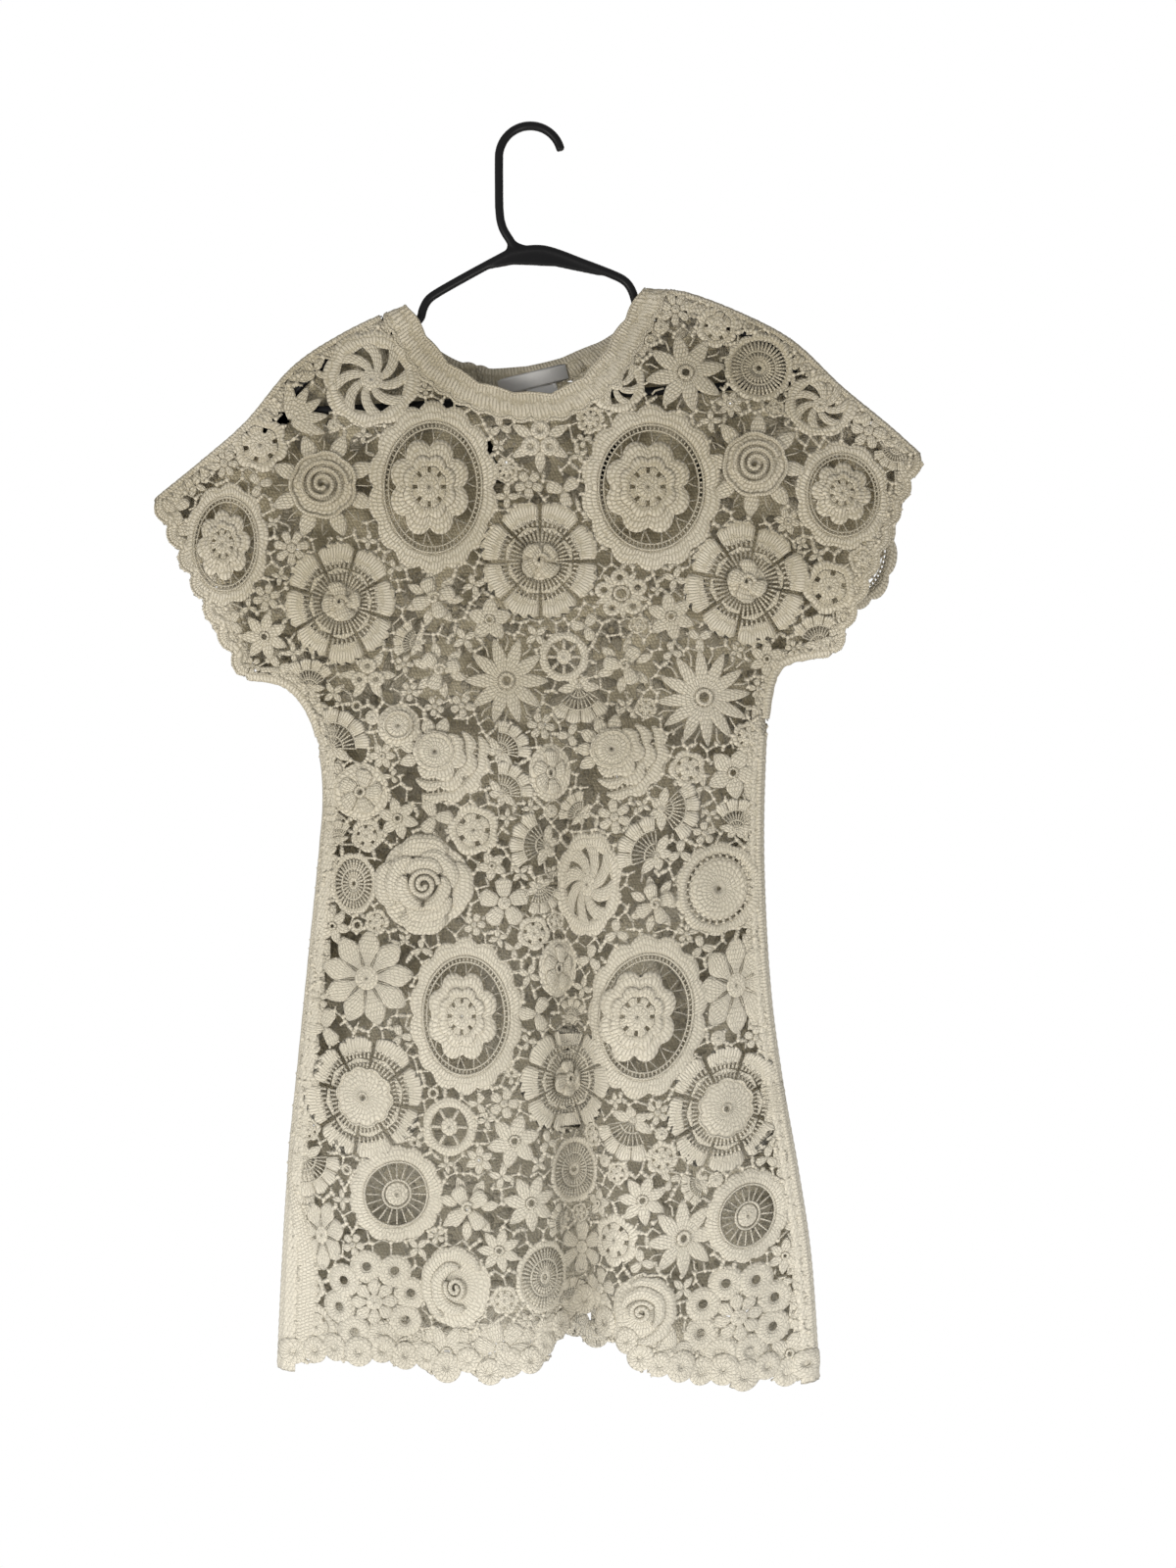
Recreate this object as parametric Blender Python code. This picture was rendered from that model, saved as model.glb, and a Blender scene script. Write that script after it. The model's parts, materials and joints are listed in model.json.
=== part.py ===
"""Crochet mini dress with kimono sleeves, hanging on a tubular plastic hanger.

Metres, +Z up. The front faces -Y and +X is the viewer's right. The origin is the inner top of the hook.
Every piece of cloth is a wall over one shared surface: a point of the front view (x, z) is carried round
the seams and out to the depth of the hollow, and then lifted along the surface's normal.
"""
import math
import random

import bmesh
import bpy
import numpy as np
from mathutils import Vector
from mathutils.geometry import delaunay_2d_cdt

# ---------------------------------------------------------------- driving dimensions
WALL = 0.0024  # thickness of the crochet ground
SEAM = 0.0003  # space left between neighbouring pieces
CURVE_STEP = 0.012  # spacing of points along drawn edges

# Edges of the flat silhouette, (x, z). Shoulder edges run from neck to cuff, under edges from cuff to hem.
SHOULDER_LEFT = [
    (-0.106, -0.150), (-0.150, -0.169), (-0.200, -0.201), (-0.240, -0.248), (-0.280, -0.283),
    (-0.317, -0.313),
]
SHOULDER_RIGHT = [
    (0.0955, -0.136), (0.130, -0.139), (0.180, -0.158), (0.222, -0.181), (0.261, -0.218), (0.300, -0.250),
    (0.328, -0.275),
]
UNDER_LEFT = [
    (-0.2405, -0.464), (-0.207, -0.471), (-0.184, -0.502), (-0.175, -0.555), (-0.178, -0.610),
    (-0.187, -0.700), (-0.196, -0.790), (-0.205, -0.880), (-0.210, -0.960), (-0.214, -1.045),
]
UNDER_RIGHT = [
    (0.254, -0.444), (0.213, -0.453), (0.201, -0.487), (0.197, -0.540), (0.196, -0.620),
    (0.201, -0.720), (0.211, -0.800), (0.225, -0.880), (0.236, -0.955), (0.243, -1.055),
]
# Neck edges and the seams under the neckband, left shoulder to right shoulder.
NECK_FRONT = [(-0.106, -0.150), (-0.077, -0.193), (-0.050, -0.215), (-0.017, -0.226), (0.022, -0.226),
              (0.053, -0.205), (0.073, -0.174), (0.0955, -0.136)]
NECK_BACK = [(-0.106, -0.150), (-0.085, -0.181), (-0.045, -0.198), (0.005, -0.195), (0.045, -0.182),
             (0.073, -0.168), (0.0955, -0.136)]
BAND_FRONT = [(-0.1225, -0.157), (-0.096, -0.203), (-0.062, -0.230), (-0.019, -0.2445), (0.026, -0.2445),
              (0.067, -0.219), (0.091, -0.181), (0.1135, -0.1365)]
BAND_BACK = [(-0.1225, -0.157), (-0.096, -0.194), (-0.050, -0.2155), (0.006, -0.2125), (0.051, -0.199),
             (0.086, -0.181), (0.1135, -0.1365)]
# The hem, left side band to right, without its scallops.
HEM_FRONT = [(-0.205, -1.033), (-0.140, -1.022), (-0.060, -1.034), (0.000, -1.028), (0.045, -0.990),
             (0.090, -1.024), (0.150, -1.040), (0.200, -1.044), (0.232, -1.048)]
HEM_BACK = [(-0.205, -1.033), (-0.100, -1.030), (0.000, -1.028), (0.100, -1.034), (0.232, -1.048)]
SCALLOP = 0.040  # width of a hem scallop
SCALLOP_DROP = 0.009
CUFF_SCALLOP = 0.024
CUFF_DROP = 0.006

# The hollow inside the cloth.
SHOULDER_RISE = 0.0120  # the cloth stands this far over the widest part of the hanger's arm
SHOULDER_DEPTH = 0.0048  # half depth of the hollow at the hanger's arm
SLEEVE_ROUND = 0.005  # radius under the sleeves
SIDE_ROUND_TOP = 0.011  # radius of the side bands at the underarm
SIDE_ROUND_HEM = 0.017
UNDERARM_Z, HEM_Z = -0.47, -1.05
BAND_TOP_LEFT_Z, BAND_TOP_RIGHT_Z = -0.520, -0.500

# Folds: side, x at the top and at the hem, z where it begins, half width and depth at the hem.
# A negative depth stands out as a ridge.
FOLDS = [
    dict(side="front", x_top=0.024, x_hem=0.046, start=-0.44, width=0.024, depth=0.036),
    dict(side="front", x_top=-0.030, x_hem=-0.024, start=-0.50, width=0.030, depth=-0.010),
    dict(side="front", x_top=0.080, x_hem=0.100, start=-0.50, width=0.030, depth=-0.011),
    dict(side="front", x_top=-0.090, x_hem=-0.105, start=-0.62, width=0.022, depth=0.009),
    dict(side="front", x_top=0.130, x_hem=0.150, start=-0.66, width=0.020, depth=0.006),
    dict(side="front", x_top=-0.140, x_hem=-0.158, start=-0.80, width=0.014, depth=-0.005),
    dict(side="back", x_top=-0.050, x_hem=-0.070, start=-0.42, width=0.030, depth=0.014),
    dict(side="back", x_top=0.060, x_hem=0.110, start=-0.46, width=0.032, depth=0.015),
    dict(side="back", x_top=0.010, x_hem=0.020, start=-0.55, width=0.030, depth=-0.007),
    dict(side="back", x_top=-0.120, x_hem=-0.140, start=-0.70, width=0.020, depth=0.006),
]
BULGE = {"front": (0.010, 0.028), "back": (0.009, 0.016)}  # hollow's extra half depth at chest and hem

# The work's round motifs on the front: centre, half width and height, number of gaps and the part of the
# radius that they take, then up to two raised tiers as a part of the radius and a height.
MOTIF_COLUMNS = ("x", "z", "rx", "rz", "gaps", "gap_from", "gap_to", "tier_1", "rise_1", "tier_2", "rise_2")
MOTIFS = [
    # shoulders and sleeves
    (-0.134, -0.213, 0.040, 0.040, 5, 0.42, 0.78, 0.30, 0.0020, 0, 0),
    (0.076, -0.216, 0.024, 0.024, 4, 0.35, 0.75, 0, 0, 0, 0),
    (0.130, -0.208, 0.032, 0.032, 8, 0.45, 0.92, 0.24, 0.0015, 0, 0),
    (0.192, -0.203, 0.029, 0.029, 6, 0.40, 0.72, 0, 0, 0, 0),
    (0.244, -0.234, 0.027, 0.024, 4, 0.40, 0.75, 0, 0, 0, 0),
    (-0.174, -0.303, 0.046, 0.046, 8, 0.62, 0.95, 0.52, 0.0030, 0.30, 0.0055),
    (0.188, -0.286, 0.044, 0.044, 8, 0.60, 0.95, 0.50, 0.0030, 0.28, 0.0055),
    (-0.256, -0.352, 0.032, 0.050, 6, 0.58, 0.84, 0.42, 0.0028, 0, 0),
    (0.262, -0.311, 0.036, 0.044, 6, 0.58, 0.84, 0.42, 0.0028, 0, 0),
    # the two breast medallions, the three-ring motif and the fan flowers
    (-0.082, -0.305, 0.054, 0.072, 8, 0.64, 0.82, 0.60, 0.0030, 0.34, 0.0055),
    (0.101, -0.305, 0.058, 0.069, 8, 0.64, 0.82, 0.60, 0.0030, 0.34, 0.0055),
    (0.005, -0.259, 0.026, 0.028, 6, 0.55, 0.95, 0.40, 0.0025, 0, 0),
    (0.008, -0.367, 0.050, 0.050, 8, 0.48, 0.94, 0.34, 0.0070, 0, 0),
    (-0.159, -0.402, 0.048, 0.050, 8, 0.48, 0.94, 0.34, 0.0070, 0, 0),
    (0.181, -0.385, 0.050, 0.050, 8, 0.48, 0.94, 0.34, 0.0070, 0, 0),
    (-0.081, -0.396, 0.026, 0.024, 4, 0.60, 0.95, 0.50, 0.0045, 0, 0),
    (0.076, -0.388, 0.024, 0.024, 4, 0.60, 0.95, 0.50, 0.0040, 0, 0),
    (-0.136, -0.458, 0.024, 0.022, 4, 0.60, 0.95, 0.50, 0.0045, 0, 0),
    (-0.072, -0.462, 0.024, 0.024, 5, 0.55, 0.92, 0.40, 0.0025, 0, 0),
    (0.077, -0.454, 0.024, 0.022, 4, 0.60, 0.95, 0.55, 0.0030, 0, 0),
    (-0.016, -0.465, 0.035, 0.036, 8, 0.40, 0.88, 0, 0, 0, 0),
    (0.027, -0.447, 0.021, 0.021, 0, 0, 0, 0.95, 0.0030, 0.40, 0.0050),
    (0.145, -0.481, 0.038, 0.038, 8, 0.38, 0.88, 0, 0, 0, 0),
    # the waist: discs with shell wings, cups and roses
    (-0.110, -0.505, 0.018, 0.018, 0, 0, 0, 0.95, 0.0050, 0, 0),
    (-0.072, -0.533, 0.038, 0.034, 0, 0, 0, 0.88, 0.0028, 0.45, 0.0060),
    (0.075, -0.531, 0.036, 0.034, 0, 0, 0, 0.88, 0.0028, 0.45, 0.0060),
    (0.016, -0.544, 0.020, 0.024, 0, 0, 0, 0.90, 0.0030, 0, 0),
    (-0.142, -0.560, 0.024, 0.024, 0, 0, 0, 0.95, 0.0050, 0.50, 0.0070),
    (-0.088, -0.637, 0.042, 0.042, 0, 0, 0, 0.90, 0.0040, 0.50, 0.0070),
    (0.050, -0.637, 0.026, 0.044, 5, 0.35, 0.70, 0, 0, 0, 0),
    (0.102, -0.653, 0.020, 0.024, 4, 0.65, 0.95, 0.55, 0.0060, 0, 0),
    (0.160, -0.641, 0.032, 0.034, 8, 0.45, 0.72, 0, 0, 0, 0),
    (-0.161, -0.641, 0.020, 0.026, 5, 0.40, 0.72, 0, 0, 0, 0),
    (-0.142, -0.717, 0.036, 0.038, 8, 0.42, 0.92, 0, 0, 0, 0),
    (0.166, -0.722, 0.030, 0.038, 8, 0.42, 0.92, 0, 0, 0, 0),
    # the skirt
    (-0.053, -0.745, 0.046, 0.062, 8, 0.62, 0.82, 0.58, 0.0035, 0.34, 0.0060),
    (0.094, -0.745, 0.044, 0.066, 8, 0.62, 0.82, 0.58, 0.0035, 0.34, 0.0060),
    (0.020, -0.707, 0.017, 0.024, 0, 0, 0, 0.95, 0.0030, 0.50, 0.0055),
    (0.034, -0.800, 0.036, 0.046, 6, 0.45, 0.92, 0.30, 0.0060, 0, 0),
    (-0.145, -0.813, 0.046, 0.050, 8, 0.55, 0.94, 0.48, 0.0028, 0, 0),
    (0.166, -0.823, 0.048, 0.052, 8, 0.55, 0.94, 0.48, 0.0028, 0, 0),
    (-0.068, -0.836, 0.022, 0.024, 5, 0.42, 0.80, 0, 0, 0, 0),
    (-0.114, -0.892, 0.040, 0.040, 8, 0.32, 0.66, 0, 0, 0, 0),
    (0.187, -0.912, 0.034, 0.038, 8, 0.32, 0.68, 0, 0, 0, 0),
    (0.030, -0.876, 0.024, 0.028, 8, 0.35, 0.75, 0, 0, 0, 0),
    (-0.050, -0.902, 0.024, 0.026, 4, 0.60, 0.95, 0.50, 0.0050, 0, 0),
    (0.126, -0.925, 0.028, 0.030, 8, 0.45, 0.88, 0, 0, 0, 0),
    (-0.060, -0.965, 0.030, 0.036, 0, 0, 0, 0.85, 0.0028, 0.40, 0.0050),
    (-0.128, -0.983, 0.040, 0.036, 8, 0.42, 0.70, 0, 0, 0, 0),
    (0.174, -0.996, 0.044, 0.036, 8, 0.42, 0.70, 0, 0, 0, 0),
    (0.020, -0.955, 0.026, 0.030, 6, 0.42, 0.88, 0, 0, 0, 0),
    (0.092, -0.985, 0.028, 0.030, 6, 0.42, 0.88, 0, 0, 0, 0),
    (-0.178, -0.935, 0.022, 0.030, 6, 0.42, 0.88, 0, 0, 0, 0),
]
RAISE_RUN = 0.0011  # width of the slope round a raised tier
BACK_MIRROR_X = 0.010  # the back repeats the front's motifs about this line
GAP_SHARE = 0.62  # part of a motif's circle that its gaps take
EDGE_CLEAR = 0.006  # plain work kept along every edge
SHOULDER_CLEAR = 0.016  # and where the cloth rounds over the hanger
BAR_WIDTH = 0.0026  # narrowest work left between two gaps
NET_PITCH = 0.0195  # spacing of the gaps between motifs
NET_RADIUS = 0.0060
NET_LIMIT = {"front": 52, "back": 28}
MOTIF_GAP_LIMIT = {"front": 156, "back": 64}
RAISED_FROM = {"front": 0.0, "back": 0.044}  # half width of the smallest motif whose tiers are raised
GRID = {"front": 0.036, "back": 0.044}  # spacing of the points that carry the folds

# Ribs down the side bands.
RIB_COUNT = 5
RIB_RISE = 0.0006

# Label at the back neck.
LABEL_CENTRE = (0.001, -0.2085)
LABEL_SIZE = (0.060, 0.015)
LABEL_TILT = math.radians(14)
LABEL_THICK = 0.0008

# Hanger.
TUBE = 0.0038  # radius of its tube
TUBE_SIDES = 8
HOOK_RADIUS = 0.0265
HOOK_CENTRE = (-0.0008, TUBE - HOOK_RADIUS)
WEB_THICK = 0.0050

CLOTH = (0.80, 0.77, 0.69)
PLASTIC = (0.012, 0.012, 0.013)
PAPER = (0.72, 0.72, 0.70)


# ---------------------------------------------------------------- curves
def curve(points, step=CURVE_STEP):
    """A smooth line through the points, as rows of (x, z) about step apart."""
    p = np.array(points, float)
    ends = np.vstack([2 * p[0] - p[1], p, 2 * p[-1] - p[-2]])
    out = []
    for i in range(len(p) - 1):
        a, b, c, d = ends[i:i + 4]
        count = max(1, round(np.linalg.norm(c - b) / step))
        for t in np.arange(count) / count:
            out.append(0.5 * (2 * b + (c - a) * t + (2 * a - 5 * b + 4 * c - d) * t ** 2
                              + (3 * b - a - 3 * c + d) * t ** 3))
    return np.array(out + [p[-1]])


def evenly(line, step):
    """The same line with points evenly spaced, about step apart."""
    runs = np.linalg.norm(np.diff(line, axis=0), axis=1)
    along = np.concatenate([[0], np.cumsum(runs)])
    count = max(2, round(along[-1] / step) + 1)
    at = np.linspace(0, along[-1], count)
    return np.stack([np.interp(at, along, line[:, 0]), np.interp(at, along, line[:, 1])], 1)


def left_normal(line):
    """The unit vector to the left of the line at each of its points."""
    way = np.gradient(line, axis=0)
    way /= np.linalg.norm(way, axis=1)[:, None]
    return np.stack([-way[:, 1], way[:, 0]], 1)


def scalloped(line, width, drop):
    """The line with arcs that hang out to its right."""
    fine = evenly(line, width / 4)
    runs = np.linalg.norm(np.diff(fine, axis=0), axis=1)
    along = np.concatenate([[0], np.cumsum(runs)])
    arcs = max(1, round(along[-1] / width))
    bump = np.abs(np.sin(math.pi * arcs * along / along[-1])) ** 0.7
    return fine - left_normal(fine) * (drop * bump)[:, None]


def smooth(value, low, high):
    t = np.clip((value - low) / (high - low), 0, 1)
    return t * t * (3 - 2 * t)


# The inside of the cloth lies to the left of each of these.
TOP_EDGES = [curve(SHOULDER_LEFT), curve(SHOULDER_RIGHT)[::-1]]
UNDER_EDGES = [curve(UNDER_LEFT), curve(UNDER_RIGHT)[::-1]]


# ---------------------------------------------------------------- the shared surface
def from_edges(places, edges):
    """Signed distance inwards from the nearest edge, the nearest point on it and the way inwards."""
    best = np.full(len(places), np.inf)
    signed = np.zeros(len(places))
    foot, inward = np.zeros_like(places), np.zeros_like(places)
    for line in edges:
        for a, b in zip(line[:-1], line[1:]):
            way = b - a
            length = np.linalg.norm(way)
            way = way / length
            normal = np.array([-way[1], way[0]])
            t = np.clip((places - a) @ way, 0, length)
            near = a + t[:, None] * way
            off = places - near
            gap = np.linalg.norm(off, axis=1)
            side = np.where(off @ normal >= 0, 1.0, -1.0)
            closer = gap < best - 1e-12
            best = np.where(closer, gap, best)
            signed = np.where(closer, gap * side, signed)
            foot[closer] = near[closer]
            plain = gap < 1e-7
            aim = np.where(plain[:, None], normal, off * side[:, None] / np.maximum(gap, 1e-12)[:, None])
            inward[closer] = aim[closer]
    return signed, foot, inward


def side_round(z):
    """Radius of the rounding at the lower edges: small under the sleeves, wider down the side bands."""
    down = smooth(-z, -UNDERARM_Z, -UNDERARM_Z + 0.06)
    long = np.clip((UNDERARM_Z - z) / (UNDERARM_Z - HEM_Z), 0, 1)
    return SLEEVE_ROUND + down * (SIDE_ROUND_TOP - SLEEVE_ROUND + long * (SIDE_ROUND_HEM - SIDE_ROUND_TOP))


def folds_at(side, x, z):
    depth = np.zeros_like(x)
    for fold in FOLDS:
        if fold["side"] != side:
            continue
        along = np.clip((fold["start"] - z) / (fold["start"] - HEM_Z), 0, 1.1)
        middle = fold["x_top"] + (fold["x_hem"] - fold["x_top"]) * along
        width = fold["width"] * (0.65 + 0.35 * along)
        depth += fold["depth"] * along ** 0.9 * np.exp(-((x - middle) / width) ** 2)
    return depth


def surface(side, places):
    """Points of the wall's inner face for rows of (x, z)."""
    top, top_foot, top_in = from_edges(places, TOP_EDGES)
    low, low_foot, low_in = from_edges(places, UNDER_EDGES)
    radius = side_round(places[:, 1])
    top_turn = np.clip(top / SHOULDER_RISE, -1, 1) * math.pi / 2
    low_turn = np.clip(low / radius, -1, 1) * math.pi / 2
    top_shift = SHOULDER_RISE * (1 - np.cos(top_turn)) - np.abs(np.clip(top, -SHOULDER_RISE, SHOULDER_RISE))
    low_shift = radius * (1 - np.cos(low_turn)) - np.abs(np.clip(low, -radius, radius))
    flat = places.copy()
    # Past the edge the surface goes on round to the other side, so the place is mirrored in the edge.
    flat = np.where(top[:, None] < 0, 2 * top_foot - flat, flat)
    flat = np.where(low[:, None] < 0, 2 * low_foot - flat, flat)
    flat = flat + top_in * top_shift[:, None] + low_in * low_shift[:, None]
    x, z = places[:, 0], places[:, 1]
    rim = SHOULDER_DEPTH + (radius - SHOULDER_DEPTH) * smooth(top, 0.02, 0.12)
    chest, hem = BULGE[side]
    bulge = chest + (hem - chest) * smooth(-z, 0.30, 1.00)
    bulge = bulge * smooth(top, 0.016, 0.100) * smooth(low, radius, radius + 0.070)
    fold = folds_at(side, x, z) * smooth(low, radius + 0.002, radius + 0.040) * smooth(top, 0.03, 0.10)
    depth = np.sin(top_turn) * np.sin(low_turn) * (rim + bulge) - fold
    out = -1.0 if side == "front" else 1.0
    return np.stack([flat[:, 0], out * depth, flat[:, 1]], 1)


def lifted(side, places, lift):
    """Points of the surface, moved out along its normal by lift."""
    places = np.asarray(places, float)
    step = 0.0004
    base = surface(side, places)
    dx = surface(side, places + (step, 0)) - surface(side, places - (step, 0))
    dz = surface(side, places + (0, step)) - surface(side, places - (0, step))
    normal = np.cross(dx, dz)
    normal *= -1.0 if side == "back" else 1.0
    normal /= np.linalg.norm(normal, axis=1)[:, None]
    # Seam edges stay in the plane between front and back.
    out = -1.0 if side == "front" else 1.0
    base[:, 1] = out * np.maximum(out * base[:, 1], SEAM / 2)
    point = base + normal * np.broadcast_to(lift, len(places))[:, None]
    point[:, 1] = out * np.maximum(out * point[:, 1], SEAM / 2)
    return point


# ---------------------------------------------------------------- gaps and raised work
def inside(places, polygon):
    """Which rows of (x, z) lie inside the closed polygon."""
    x, z = places[:, 0], places[:, 1]
    result = np.zeros(len(places), bool)
    for (ax, az), (bx, bz) in zip(polygon, np.roll(polygon, -1, axis=0)):
        crosses = (az > z) != (bz > z)
        with np.errstate(divide="ignore", invalid="ignore"):
            at = ax + (z - az) * (bx - ax) / (bz - az)
        result ^= crosses & (x < at)
    return result


def distance_to(places, polygon):
    best = np.full(len(places), np.inf)
    for a, b in zip(polygon, np.roll(polygon, -1, axis=0)):
        way = b - a
        t = np.clip((places - a) @ way / (way @ way), 0, 1)
        best = np.minimum(best, np.linalg.norm(places - a - t[:, None] * way, axis=1))
    return best


def motif_rows(side):
    rows = [dict(zip(MOTIF_COLUMNS, row)) for row in MOTIFS]
    for row in rows:
        if side == "back":
            row["x"] = 2 * BACK_MIRROR_X - row["x"]
        if row["rx"] < RAISED_FROM[side]:
            row["rise_1"] = row["rise_2"] = 0
    return rows


def motif_gaps(row):
    """The gaps of one motif: even sectors of a ring, each with four corners."""
    count = row["gaps"]
    for i in range(count):
        middle = 2 * math.pi * (i + 0.5) / count
        half = math.pi / count * GAP_SHARE
        corners = []
        for radius, width in ((row["gap_from"], 0.8), (row["gap_to"], 1.0)):
            turns = (-half * width, half * width)
            for turn in turns if radius == row["gap_from"] else turns[::-1]:
                angle = middle + turn
                corners.append((row["x"] + radius * row["rx"] * math.cos(angle),
                                row["z"] + radius * row["rz"] * math.sin(angle)))
        yield np.array(corners)


def net_gaps(side, rows, outline, pick):
    """Five-cornered gaps in the net between the motifs."""
    low, high = outline.min(axis=0), outline.max(axis=0)
    found = []
    for k in range(int((high[1] - low[1]) / (NET_PITCH * 0.8))):
        for j in range(int((high[0] - low[0]) / NET_PITCH) + 1):
            centre = np.array([low[0] + (j + 0.5 * (k % 2)) * NET_PITCH, high[1] - k * NET_PITCH * 0.8])
            centre += [pick.uniform(-0.003, 0.003), pick.uniform(-0.003, 0.003)]
            radius = NET_RADIUS * pick.uniform(0.85, 1.2)
            turn = pick.uniform(0, math.pi)
            near = min(math.hypot((centre[0] - row["x"]) / (row["rx"] + radius),
                                  (centre[1] - row["z"]) / (row["rz"] + radius)) for row in rows)
            if near < 0.96:
                continue
            angles = turn + np.arange(5) * 2 * math.pi / 5
            found.append((near, centre + radius * np.stack([np.cos(angles), 0.85 * np.sin(angles)], 1)))
    return [gap for _, gap in sorted(found, key=lambda f: f[0])]


def clear_gaps(side, outline, rows, pick):
    """All gaps to cut on one side: those of the motifs, largest motifs first, and then those of the net."""
    kept, middles = [], []
    largest_first = sorted(rows, key=lambda row: -row["rx"] * row["rz"])
    sources = [("motif", gap) for row in largest_first for gap in motif_gaps(row)]
    sources += [("net", gap) for gap in net_gaps(side, rows, outline, pick)]
    left = {"motif": MOTIF_GAP_LIMIT[side], "net": NET_LIMIT[side]}
    for kind, gap in sources:
        if left[kind] == 0 or not inside(gap, outline).all():
            continue
        if distance_to(gap, outline).min() < EDGE_CLEAR:
            continue
        if from_edges(gap, TOP_EDGES)[0].min() < SHOULDER_CLEAR:
            continue
        middle = gap.mean(axis=0)
        close = [other for other, at in zip(kept, middles) if np.hypot(*(at - middle)) < 0.04]
        if any(distance_to(gap, other).min() < BAR_WIDTH or distance_to(other, gap).min() < BAR_WIDTH
               or inside(gap, other).any() or inside(other, gap).any() for other in close):
            continue
        kept.append(gap)
        middles.append(middle)
        left[kind] -= 1
    return kept


def tiers_of(row):
    for k in ("1", "2"):
        if row["rise_" + k]:
            yield row["tier_" + k], row["rise_" + k]


def raised(rows, places):
    """Height of the raised work over the ground at each place."""
    rise = np.zeros(len(places))
    for row in rows:
        across = np.hypot((places[:, 0] - row["x"]) / row["rx"], (places[:, 1] - row["z"]) / row["rz"])
        for part, height in tiers_of(row):
            rise = np.where(across <= part + RAISE_RUN / 2 / row["rx"], np.maximum(rise, height), rise)
    return rise


def tier_rings(rows):
    """Rings of points at the foot and the top of each raised tier."""
    for row in rows:
        for part, _ in tiers_of(row):
            count = 7 if part * row["rx"] < 0.016 else 9
            for grow in (0, RAISE_RUN):
                angles = (np.arange(count) + 0.5) * 2 * math.pi / count
                reach = np.array([part * row["rx"] + grow, part * row["rz"] + grow])
                yield np.array([row["x"], row["z"]]) + reach * np.stack([np.cos(angles), np.sin(angles)], 1)


# ---------------------------------------------------------------- cloth walls
def material(name, colour, roughness):
    made = bpy.data.materials.new(name)
    made.use_nodes = True
    shader = made.node_tree.nodes["Principled BSDF"]
    shader.inputs["Base Color"].default_value = (*colour, 1)
    shader.inputs["Roughness"].default_value = roughness
    shader.inputs["Metallic"].default_value = 0
    return made


def finish(name, bm, colour, roughness):
    bmesh.ops.recalc_face_normals(bm, faces=bm.faces)
    mesh = bpy.data.meshes.new(name)
    bm.to_mesh(mesh)
    bm.free()
    made = bpy.data.objects.new(name, mesh)
    bpy.context.scene.collection.objects.link(made)
    mesh.materials.append(material(name, colour, roughness))
    return made


def wall(name, side, outline, gaps=(), rings=(), points=(), rows=(), low=0.0, high=WALL, colour=CLOTH):
    """A closed wall over the part of the surface inside outline, less the gaps, with raised work outside."""
    coords, edges = [], []
    for loop in [outline, *gaps, *rings]:
        first = len(coords)
        coords += [Vector(p) for p in loop]
        edges += [(first + i, first + (i + 1) % len(loop)) for i in range(len(loop))]
    coords += [Vector(p) for p in points]
    verts, _, faces, *_ = delaunay_2d_cdt(coords, edges, [], 0, 1e-7)
    flat = np.array([tuple(v) for v in verts])
    faces = np.array([tuple(f) for f in faces])
    middles = flat[faces].mean(axis=1)
    keep = inside(middles, outline)
    for gap in gaps:
        keep &= ~inside(middles, gap)
    faces = faces[keep]
    used = np.unique(faces)
    index = np.full(len(flat), -1)
    index[used] = np.arange(len(used))
    flat, faces = flat[used], index[faces]
    rise = raised(rows, flat)
    inner = lifted(side, flat, low)
    outer = lifted(side, flat, high + rise)
    bm = bmesh.new()
    inner_verts = [bm.verts.new(p) for p in inner]
    outer_verts = [bm.verts.new(p) for p in outer]
    rim = {}
    for a, b, c in faces:
        bm.faces.new([outer_verts[i] for i in (a, b, c)])
        bm.faces.new([inner_verts[i] for i in (c, b, a)])
        for edge in ((a, b), (b, c), (c, a)):
            if (edge[1], edge[0]) in rim:
                del rim[edge[1], edge[0]]
            else:
                rim[edge] = True
    for a, b in rim:
        bm.faces.new([outer_verts[b], outer_verts[a], inner_verts[a], inner_verts[b]])
    bmesh.ops.triangulate(bm, faces=bm.faces)
    return finish(name, bm, colour, 0.9)


def side_edge(line, top_z):
    """The stretch of an under edge that the side band covers."""
    return line[line[:, 1] <= top_z]


def inset(line):
    """The seam between a panel and its side band."""
    radius = side_round(line[:, 1])
    return line + left_normal(line) * (radius + SEAM / 2)[:, None]


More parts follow.
